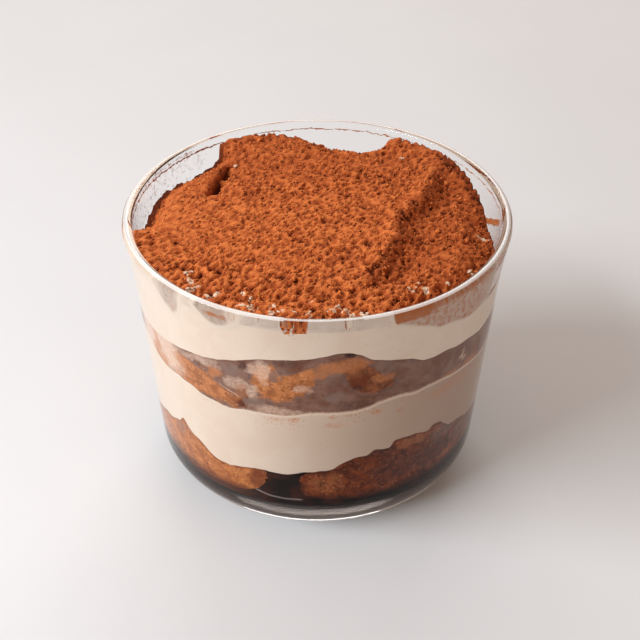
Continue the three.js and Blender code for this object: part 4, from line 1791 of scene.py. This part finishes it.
@dataclass(frozen=True)
class CocoaForm:
    """The form of the dusted top: level at the left, with a crest and a lower part right of it."""

    level: float = 61.5
    depth: float = 1.2
    crest: tuple[tuple[float, float], ...] = (
        (5, -31), (7.9, -26.1), (11, -22.1), (12.9, -19.4), (13.3, -15.6), (15.1, -11), (16.8, -7.4),
        (17.4, -2.3), (17.6, 1.4), (20.3, 4.5), (23.7, 10), (25.5, 16.4), (28.8, 23.4), (31, 32),
    )
    crest_rise: float = 0.8
    crest_half: float = 3.4
    basin_drop: float = 3.0
    basin_width: float = 6.4
    basin_from: tuple[float, float] = (-31, -17)
    crease: tuple[tuple[float, float], ...] = ((-20.4, 25.3), (-21.8, 19.3), (-24, 11.6))
    trough: tuple[tuple[float, float], ...] = ((-17, 24.7), (-9.7, 22.9), (-2.4, 29.1))
    dip: tuple[tuple[float, float], ...] = ((1.5, 36.5), (10.5, 34))
    pits: tuple[tuple[float, float], ...] = (
        (10.3, 5.3), (-30.6, -9.3), (-3.3, -9.3), (-26.3, -17.9), (-7.5, -22.8), (14, -15.3), (11.5, -21.5),
        (22, 6.5), (18.9, 2.6), (-24.2, 11), (11, -10.2), (12.8, -19.2),
    )
    bare_spots: tuple[tuple[float, float, float], ...] = (
        (-27, -22, 0.9), (-26.4, -24, 1.0), (-26.1, -25.7, 1.0), (-26.1, -28.3, 1.2), (-24.7, -27, 0.9),
        (-22.4, -30.3, 1.0), (-20.7, -29.2, 1.1), (-15, -29.2, 1.0), (-13.5, -31.4, 1.2), (-15.5, -34.4, 1.2),
        (-13, -35, 1.4), (-9.4, -34, 1.0), (-9.1, -37, 1.0), (-7.4, -36.1, 1.1), (-4.7, -36.5, 1.1),
        (-1.5, -37.8, 1.2), (-1.3, -31.8, 0.7), (3, -35.9, 1.5), (4.2, -33.8, 1.2), (5.6, -35.9, 1.3),
        (7, -37.6, 1.2), (9.5, -37, 1.3), (19.8, -26.2, 1.1), (22.8, -25, 1.3), (21.5, -22.8, 0.8),
        (29.4, -21.6, 1.0), (27.5, -20, 0.7), (33.4, -13.9, 0.9), (-19.9, 23.5, 1.1), (20, 27, 0.8),
    )
    notch: tuple[float, float] = (37, 1)  # where cream shows beside the glass
    streak_angle: float = 54
    streak_length: float = 0.44
    pit_depth: float = 0.74
    crease_depth: float = 3.2

    def right_of_crest(self, x: Floats, y: Floats) -> Floats:
        """Distance from the crest towards +X, which wanders a little."""
        at = np.array(self.crest)
        along = np.stack([0 * y, y, 0 * y], 1)
        rough = Roughcast(2)
        wander = 0.9 * rough.waves(along, 4.5) + 0.45 * rough.waves(along + 60, 1.7)
        return x - np.interp(y, at[:, 1], at[:, 0]) - wander

    def base(self, x: Floats, y: Floats, share: Floats, azimuth: Floats) -> Floats:
        """Height of the top without its crumbs.

        Args:
            x: places along X.
            y: places along Y.
            share: 0 in the middle and 1 at the glass.
            azimuth: azimuths of the places.

        Returns:
            One height for each place.
        """
        right = self.right_of_crest(x, y)
        reach = smooth(*self.basin_from, y)
        basin = self.basin_drop * reach * smooth(-0.4, self.basin_width, right)
        crest = self.crest_rise * reach * bell(right / self.crest_half)
        crease = self.crease_depth * bell(distance_to_path(x, y, self.crease) / 1.9)
        trough = 1.0 * bell(distance_to_path(x, y, self.trough) / 4)
        dip = 3.4 * bell(distance_to_path(x, y, self.dip) / 4.5)
        middle = self.level + crest - basin - np.max([crease, trough, dip], axis=0)
        return mix(middle, COCOA_LINE.at(azimuth), smooth(0.8, 1, share))

    def relief(self, x: Floats, y: Floats) -> tuple[Floats, Floats]:
        """A net of crumbly ridges round long pits, coarser at the front, with the painted shade that goes
        with them.

        Args:
            x: places along X.
            y: places along Y.

        Returns:
            Height to add at each place, and how hollow it is there from 0 to 1.
        """
        rough = Roughcast(3)
        turn = math.radians(self.streak_angle)
        along = x * math.cos(turn) + y * math.sin(turn)
        across = y * math.cos(turn) - x * math.sin(turn)
        place = np.stack([along * self.streak_length, across, 0 * x], 1)
        stir = np.stack([rough.waves(place + 31, 1.6), rough.waves(place + 57, 1.6), 0 * x], 1)
        stirred = place + 0.3 * stir
        clump = smooth(-0.2, 0.6, rough.waves(place + 77, 5.5))
        front = smooth(-12, -32, y)
        calm = smooth(-17, -25, x) * smooth(-12, -3, y)
        worms = 1 - 2.2 * np.abs(rough.waves(stirred + 11, 1.5))
        height = 0.10 * rough.waves(place + 3, 0.5) + 0.16 * worms * (1 - 0.7 * calm)
        height += 0.2 * rough.waves(place + 5, 4.2) + 0.1 * rough.waves(place + 9, 8)
        # painted shade starts lighter on the worm-like ridges and darker between them
        painted_shade = 0.25 - 0.2 * worms
        # each size of cell adds pits with painted shade in them and ridges with a little less
        for size, strength in (
            (0.9, (0.85 + 0.35 * clump) * (1 - 0.5 * calm)),
            (1.75, (0.15 + 0.45 * clump + 0.55 * front) * (1 - 0.8 * calm)),
        ):
            first, second, draw = rough.cells(stirred[:, 0], stirred[:, 1], size)
            pit = bell(first / 0.46) * smooth(-0.35, 0.6, draw)
            ridge = 1 - smooth(0, 0.4, second - first)
            height += strength * size * (0.2 * ridge - self.pit_depth * pit)
            painted_shade += strength * (1.0 * pit - 0.12 * ridge)
        # the listed pits are dents with painted shade in them
        for px, py in self.pits:
            pit = bell(np.hypot(x - px, y - py) / 1.3)
            height = height - 0.9 * pit
            painted_shade = painted_shade + pit
        crease = bell((distance_to_path(x, y, self.crease) - 0.4) / 1.3)
        # the crest's steep side faces away from the lamp and gets painted shadow
        steep = bell((self.right_of_crest(x, y) - 1.7) / 2.3) * smooth(*self.basin_from, y)
        azimuth = np.degrees(np.arctan2(x, -y))
        ragged = 0.02 * rough.waves(np.stack([x, y, 0 * x], 1), 1.1)
        # the powder's edge by the glass, at the left and less at the right, gets painted shade
        rim = smooth(0.935, 0.965, ragged + np.hypot(x, y) / CUP.inner(COCOA_LINE.at(azimuth)))
        left = 1 - smooth(25, 32, np.abs(turn_between(azimuth, -117)))
        right = 1 - smooth(36, 44, np.abs(turn_between(azimuth, 94)))
        shaded_edge = left + 0.5 * right
        height = np.maximum(height * (1 - 0.5 * crease), -0.8)
        basin = smooth(0.5, 4, self.right_of_crest(x, y)) * smooth(*self.basin_from, y)
        # painted shade, more towards the back and in the lower part right of the crest
        back_and_basin_shade = 0.14 * smooth(0, 26, y) + 0.16 * basin
        painted_shade = np.clip(painted_shade, 0, 1)
        # all of these are painted shade, laid over the pits' painted shade
        for shade in (crease, 0.4 * steep, 0.9 * rim * shaded_edge, back_and_basin_shade):
            painted_shade = 1 - (1 - painted_shade) * (1 - np.clip(shade, 0, 1))
        return height, painted_shade

    def bareness(self, x: Floats, y: Floats) -> Floats:
        """How much cream shows through, in thin crooked gaps between crumbs at the bare spots.

        Args:
            x: places along X.
            y: places along Y.

        Returns:
            A number from 0 to 1 for each place.
        """
        rough = Roughcast(41)
        place = np.stack([x, y, 0 * x], 1)
        bare = np.zeros(len(x))
        for px, py, half in self.bare_spots:
            bare = np.maximum(bare, bell(np.hypot(x - px, y - py) / (1.5 * half)))
        gap = 1 - 1.6 * np.abs(rough.waves(place, 1.7))
        patch = 0.5 + rough.waves(place + 20, 1.3)
        notch = 1 - smooth(0.6, 1.1, np.hypot((x - self.notch[0]) / 2.0, (y - self.notch[1]) / 1.0))
        return np.maximum(bare * smooth(0.5, 0.85, np.maximum(gap, patch)), notch)

    def surface(self, x: Floats, y: Floats) -> Floats:
        """Height of the finished top over places x and y."""
        azimuth = np.degrees(np.arctan2(x, -y))
        share = np.hypot(x, y) / CUP.inner(COCOA_LINE.at(azimuth))
        return self.base(x, y, share, azimuth) + self.relief(x, y)[0]


@dataclass
class CocoaTop:
    """The powder on top: a thick crumbly skin whose edge fills the cream's notches on the glass."""

    form: CocoaForm
    cuts: int = 160
    side_rows: int = 5
    underside_rings: tuple[float, ...] = (0.96, 0.91, 0.85, 0.78, 0.71, 0.63, 0.55, 0.47, 0.39, 0.3, 0.2, 0.1)
    overlap: float = 1.0
    thinnest: float = 0.3

    def build(self) -> None:
        """Shapes the net over the form and draws its edge down and under."""
        skin = turn_unit_disc(self.cuts)
        outline = np.hypot(*points_of(skin, 1.0)[:, :2].T) > 1 - 0.4 / self.cuts
        with editing(skin, outline):
            for _ in range(self.side_rows):
                draw_out(lift=-1 / self.side_rows)
            reach = 1.0
            for ring in self.underside_rings:
                draw_out(scale=ring / reach)
                reach = ring
            draw_out()
            bpy.ops.mesh.merge(type="CENTER")
        face_outwards(skin)
        unit = points_of(skin, 1.0)
        azimuth = azimuth_of(unit)
        share = np.minimum(1, np.hypot(unit[:, 0], unit[:, 1]))
        share[share > 0.9999] = 1.0
        drop = -unit[:, 2]
        sunk = Sinking.COCOA.value
        place = on_wall(azimuth, share * CUP.inner(COCOA_LINE.at(azimuth), sunk), 0 * share)
        relief, painted_shade = self.form.relief(place[:, 0], place[:, 1])
        base = self.form.base(place[:, 0], place[:, 1], share, azimuth)
        top, underside = base + relief, base - self.form.depth
        bottom = mix(underside, CREAM_EDGE_LINE.at(azimuth) - self.overlap, smooth(0.92, 1, share))
        z = mix(top, np.minimum(bottom, top - self.thinnest), drop)
        wall_z = np.where(share == 1.0, z, COCOA_LINE.at(azimuth))
        place = on_wall(azimuth, share * CUP.inner(wall_z, sunk), z)
        move_points(skin, place)
        # painted shade on the top only; none on the sides and underside
        note(skin, "painted_shade", painted_shade * (1 - drop))
        note(skin, "bare", self.form.bareness(place[:, 0], place[:, 1]) * (drop < 0.01))
        hand_over(skin, "cocoa_top", COCOA.material(), ["cocoa_powder"], sharpest=180)


@dataclass
class LooseBits:
    """Many small bits lying on the powder."""

    name: str
    slot: str
    finish: Finish
    form: CocoaForm
    count: int
    sizes: tuple[float, float]
    seed: int
    subdivisions: int = 1
    bury: float = 0.25
    stretch: tuple[float, float, float] = (1, 1, 1)
    tumble: float = 1.0
    reach: float = 38.6

    def spots(self, draw: np.random.Generator) -> Floats:
        """Places across the top, one row of x and y each."""
        turn = draw.uniform(0, 2 * math.pi, self.count)
        away = self.reach * np.sqrt(draw.uniform(0, 1, self.count))
        return np.stack([away * np.cos(turn), away * np.sin(turn)], 1)

    def build(self) -> None:
        """Crumples one bit and scatters it."""
        draw = np.random.default_rng(self.seed)
        bpy.ops.object.select_all(action="DESELECT")
        bpy.ops.mesh.primitive_ico_sphere_add(subdivisions=self.subdivisions, radius=MM / 2)
        bit = bpy.context.active_object
        shape = points_of(bit)
        move_points(bit, shape * draw.uniform(0.75, 1.25, (len(shape), 1)))
        spots = self.spots(draw)
        small, large = self.sizes
        size = small * (large / small) ** (draw.uniform(0, 1, len(spots)) ** 1.6)
        z = self.form.surface(spots[:, 0], spots[:, 1]) + (0.5 - self.bury) * size
        sizes = size[:, None] * draw.uniform(0.7, 1.25, (len(spots), 3)) * self.stretch
        scatter(bit, np.column_stack([spots, z]), sizes, self.seed, self.tumble)
        hand_over(bit, self.name, self.finish.material(), sharpest=80)


@dataclass
class CreamFlecks(LooseBits):
    """Bits of cream that stand through the powder at its bare spots."""

    def spots(self, draw: np.random.Generator) -> Floats:
        """Places round the bare spots, one row of x and y each."""
        spots = np.array(self.form.bare_spots)
        chosen = spots[draw.integers(0, len(spots), self.count)]
        return chosen[:, :2] + draw.normal(size=(self.count, 2)) * 0.4 * chosen[:, 2:]


@dataclass(frozen=True)
class DustPatch:
    """One dusty place on the glass: full within `half` degrees of `at`, gone `soft` further on.

    It climbs by `slant` millimetres a degree.
    """

    at: float
    half: float
    soft: float
    low: float
    high: float
    cover: float
    tone: float
    dusty: float
    soft_height: float = 0.6
    slant: float = 0.0


@dataclass
class WallDust:
    """Cocoa dust and thin cream left on the inside of the glass round the powder's edge."""

    patches: tuple[DustPatch, ...] = (
        DustPatch(-105, 30, 10, 54, 63.2, 0.15, 0.85, 0.75, 0.8),
        DustPatch(-102, 30, 8, 62.5, 63.4, 0.3, 0.5, 0.6, 0.3),
        DustPatch(180, 150, 12, 62.0, 62.5, 0.6, 0.4, 0.8, 0.2),
        DustPatch(-48.8, 8, 3, 54, 62.6, 1.0, 0.75, 0.0, 1.0),
        DustPatch(-48, 1.5, 4, 57, 62.4, 1.0, 0.35, 0.1, 1.4),
        DustPatch(-30.2, 9, 2, 57, 62.9, 1.0, 0.3, 0.05, 0.5),
        DustPatch(-29.5, 2.4, 3.5, 60.0, 62.0, 1.0, 0.3, 0.68, 0.9),
        DustPatch(-45, 2, 3, 55.5, 60, 1.0, 0.55, 0.4, 1.0),
        DustPatch(-23.5, 2, 2, 58, 62.8, 1.0, 0.85, 0.35, 0.4),
        DustPatch(-9, 0.4, 0.5, 59, 63, 0.3, 0.3, 0.6, 0.4),
        DustPatch(-7, 0.3, 0.3, 59, 62.2, 0.6, 0.9, 0.1, 0.4),
        DustPatch(8.6, 0.4, 0.7, 60.5, 62.6, 0.7, 0.4, 0.7, 0.4),
        DustPatch(38, 19, 12, 51, 63.0, 1.0, 0.55, 0.52, 0.8),
        DustPatch(40, 20, 6, 61.2, 62.6, 1.0, 0.45, 0.68, 0.6),
        DustPatch(27.5, 5, 4, 60.2, 62.7, 1.0, 0.3, 0.85, 0.6),
        DustPatch(98, 5, 6.5, 56.2, 58.5, 0.85, 0.0, 1.0, 1.1, slant=-0.36),
    )
    segments: int = 900
    rows: int = 60
    low: float = 52
    high: float = 63.6
    thickness: float = 0.02

    def covering(self, azimuth: Floats, z: Floats) -> tuple[Floats, Floats, Floats]:
        """How the film covers the glass, where later patches lie over earlier ones.

        Args:
            azimuth: azimuths of the places.
            z: their heights.

        Returns:
            How thickly each place is covered, how creamy it is and how dusty, from 0 to 1.
        """
        rough = Roughcast(61)
        place = on_wall(azimuth, CUP.inner(z), z)
        azimuth_there = azimuth + 1.1 * rough.waves(place, 1.7)
        z_there = z + 0.35 * rough.waves(place + 20, 1.3)
        cover, tone, dusty = np.zeros(len(z)), np.full(len(z), 0.5), np.zeros(len(z))
        for patch in self.patches:
            turn = turn_between(azimuth_there, patch.at)
            level = z_there - patch.slant * turn
            here = smooth(patch.low, patch.low + patch.soft_height, level)
            here *= 1 - smooth(patch.high - patch.soft_height * 0.4, patch.high, level)
            here *= 1 - smooth(patch.half, patch.half + patch.soft, np.abs(turn))
            tone, dusty = mix(tone, patch.tone, here), mix(dusty, patch.dusty, here)
            cover = np.maximum(cover, here * patch.cover)
        edge = np.max([CREAM_EDGE_LINE.at(azimuth + turn) for turn in (-1.2, 0, 1.2)], axis=0)
        inside = smooth(-0.2, 1.0, z - edge)
        seen = smooth(-0.9, -0.3, z - CREAM_EDGE_LINE.at(azimuth))
        return cover * seen, mix(1.0, tone, inside), dusty * inside

    def build(self) -> None:
        """Draws a band up inside the rim, keeps its dusty places and thickens them."""
        bpy.ops.object.select_all(action="DESELECT")
        bpy.ops.mesh.primitive_circle_add(vertices=self.segments, radius=1)
        film = bpy.context.active_object
        with editing(film):
            for _ in range(self.rows):
                draw_out(lift=1 / self.rows)
        unit = points_of(film, 1.0)
        azimuth, z = azimuth_of(unit), mix(self.low, self.high, unit[:, 2])
        cover, tone, dusty = self.covering(azimuth, z)
        # its lower edge dives behind the cream's face, so that it fades out over the cream
        over = smooth(-0.8, -0.3, z - CREAM_EDGE_LINE.at(azimuth))
        sunk = mix(Sinking.CREAM.value - 0.03, Sinking.DUST.value, over)
        move_points(film, on_wall(azimuth, CUP.inner(z) + sunk, z))
        for key, values in (("cover", cover), ("tone", tone), ("dusty", dusty)):
            note(film, key, values)
        with editing(film, cover < 0.01):
            bpy.ops.mesh.delete(type="VERT")
        with editing(film):
            bpy.ops.mesh.normals_make_consistent(inside=False)
        apply_modifier(film, "SOLIDIFY", thickness=self.thickness * MM, offset=-1)
        hand_over(film, "wall_dust", DUST.material())


# ---- the studio ----


@dataclass(frozen=True)
class Lamp:
    """One soft lamp, hung at an azimuth and height in degrees and aimed at the cup."""

    name: str
    azimuth: float
    height: float
    distance: float
    size: tuple[float, float]
    power: float
    colour: Colour = (1.0, 1.0, 1.0)

    def hang(self, aim: Vector) -> None:
        """Adds the lamp and points it.

        Args:
            aim: the place at which it points.
        """
        turn, rise = math.radians(self.azimuth), math.radians(self.height)
        way = Vector((math.sin(turn) * math.cos(rise), -math.cos(turn) * math.cos(rise), math.sin(rise)))
        bpy.ops.object.light_add(type="AREA", location=aim + way * self.distance)
        lamp = bpy.context.active_object
        lamp.name = self.name
        lamp.rotation_euler = way.to_track_quat("Z", "Y").to_euler()
        lamp.data.shape = "RECTANGLE"
        lamp.data.size, lamp.data.size_y = self.size
        lamp.data.energy = self.power
        lamp.data.color = self.colour


@dataclass
class Studio:
    """Pale table, soft daylight from the left, and the camera."""

    camera_place: tuple[float, float, float] = (0, -0.2754, 0.2315)
    aim: tuple[float, float, float] = (0, 0, 0.03205)
    lens: float = 81.89
    shift: tuple[float, float] = (0.0044, 0.0108)
    floor_size: float = 6.0
    floor_drop: float = 0.1
    sky: Colour = (1.0, 0.76, 0.62)
    sky_strength: float = 0.40
    lamps: tuple[Lamp, ...] = (
        Lamp("window_left", -66, 43, 0.62, (0.42, 0.15), 3.8, (0.95, 1.0, 1.05)),
        Lamp("window_back", 178, 38, 0.9, (0.6, 0.26), 2.8),
    )

    def build(self) -> None:
        """Sets up floor, light and camera."""
        self.lay_floor()
        self.light()
        self.place_camera()
        bpy.context.scene.view_settings.view_transform = "Standard"

    def lay_floor(self) -> None:
        """Lays the pale table top just under the foot."""
        bpy.ops.object.select_all(action="DESELECT")
        bpy.ops.mesh.primitive_plane_add(size=self.floor_size, location=(0, 0, -self.floor_drop * MM))
        floor = bpy.context.active_object
        bpy.ops.object.transform_apply(location=True)
        floor.name = "table_top"
        floor.data.materials.append(PaleFloor("pale table").material())

    def light(self) -> None:
        """Hangs the soft lamps and gives the room its pale light."""
        for lamp in self.lamps:
            lamp.hang(Vector(self.aim))
        world = bpy.data.worlds.new("pale room")
        world.use_nodes = True
        background = world.node_tree.nodes["Background"]
        background.inputs["Color"].default_value = (*self.sky, 1)
        background.inputs["Strength"].default_value = self.sky_strength
        bpy.context.scene.world = world

    def place_camera(self) -> None:
        """Stands the camera in front, looking down at the cup."""
        place, aim = Vector(self.camera_place), Vector(self.aim)
        bpy.ops.object.camera_add(location=place)
        camera = bpy.context.active_object
        camera.rotation_euler = (place - aim).to_track_quat("Z", "Y").to_euler()
        camera.data.lens = self.lens
        camera.data.shift_x, camera.data.shift_y = self.shift
        camera.data.clip_start = 0.01
        bpy.context.scene.camera = camera


def food() -> list[Any]:
    """The pieces of the dessert, from the floor of the cup upwards."""
    form = CocoaForm()
    return [
        CoffeePool(
            "coffee_pool", "coffee_syrup", "coffee", COFFEE, Sinking.COFFEE,
            BISCUIT_LINE, BISCUIT_TOP, rows=72,
        ),
        LowerFinger(
            "lower_sponge_left", "biscuit_lower_left", "soaked_sponge", SPONGE_LEFT, Sinking.LOWER_SPONGE,
            left=(-80, -80), right=(-21, -15.6),
        ),
        LowerFinger(
            "lower_sponge_right", "biscuit_lower_right", "soaked_sponge_dark", SPONGE_RIGHT,
            Sinking.LOWER_SPONGE, left=(-5, -6.4), right=(74, 74),
        ),
        CreamLayer(
            "lower_cream", "cream_lower", "cream", CREAM, Sinking.CREAM,
            CREAM_LINE, CREAM_TOP, BISCUIT_LINE, BISCUIT_TOP, rows=56, dusted_line=CREAM_LINE, stained_and_shaded=0.95,
        ),
        StainedLayer(
            "stained_band", "stained_cream", "stained_cream", STAINED, Sinking.STAIN,
            STAINED_LINE.lifted(1), STAINED_TOP, CREAM_LINE.lifted(-1), CREAM_TOP, rows=48,
        ),
        UpperFinger(
            "upper_sponge_left", "biscuit_upper_left", "soaked_sponge", SPONGE_PALE, Sinking.UPPER_SPONGE,
            outline=(
                (-33.6, 41.8), (-33, 44.7), (-29.9, 45.7), (-27.5, 45.3), (-22.8, 44.2), (-18.7, 41.3),
                (-16, 39.9), (-14.7, 37.2), (-16, 36.0), (-21, 35.9), (-25.6, 35.9), (-30.4, 37.3),
                (-33.3, 39.6),
            ),
            tip=(-15.2, 37.6),
            lined=(-33, -24.5),
        ),
        UpperFinger(
            "upper_sponge_middle", "biscuit_upper_middle", "soaked_sponge", SPONGE_PALE,
            Sinking.UPPER_SPONGE,
            outline=(
                (-13.4, 50.3), (-9.3, 51.3), (-7.5, 48.4), (-4.9, 48.9), (-0.4, 51), (0.6, 47.5),
                (-0.4, 44.1), (-2.2, 42.2), (-5, 40.7), (-8.6, 39.1), (-12.3, 40.5), (-13.6, 42.7),
                (-14.2, 46.5),
            ),
        ),
        UpperFinger(
            "upper_sponge_right", "biscuit_upper_right", "soaked_sponge_dark", SPONGE_DARK,
            Sinking.UPPER_SPONGE,
            outline=(
                (4.6, 48.2), (5.8, 52.2), (8.5, 52.7), (11.2, 50.3), (13.6, 46.9), (16.4, 44.6),
                (16.4, 42.3), (13.7, 41.3), (9.1, 41.9), (6.4, 44.3),
            ),
        ),
        WallCrumb(),
        UpperCream(
            "upper_cream", "cream_upper", "cream", CREAM, Sinking.CREAM,
            CREAM_EDGE_LINE, None, STAINED_LINE, STAINED_TOP,
            rows=60, rings=28, edge_share=0.993, powder=form,
        ),
        CocoaTop(form),
        LooseBits("cocoa_grains", "cocoa", COCOA, form, 7000, (0.16, 0.45), 51),
        LooseBits("cocoa_lumps", "cocoa", COCOA, form, 500, (0.45, 1.0), 52, subdivisions=2, bury=0.55),
        CreamFlecks(
            "cream_flecks", "cream", FLECKED, form, 90, (0.35, 0.85), 53,
            subdivisions=2, bury=0.42, stretch=(1.7, 0.9, 0.5), tumble=0.08,
        ),
        WallDust(),
    ]


def main() -> None:
    """Builds the cup, the food and the studio."""
    logging.basicConfig(level=logging.INFO, format="%(message)s")
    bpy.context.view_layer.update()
    GlassCup().build()
    for piece in food():
        piece.build()
    Studio().build()


if __name__ == "__main__":
    main()
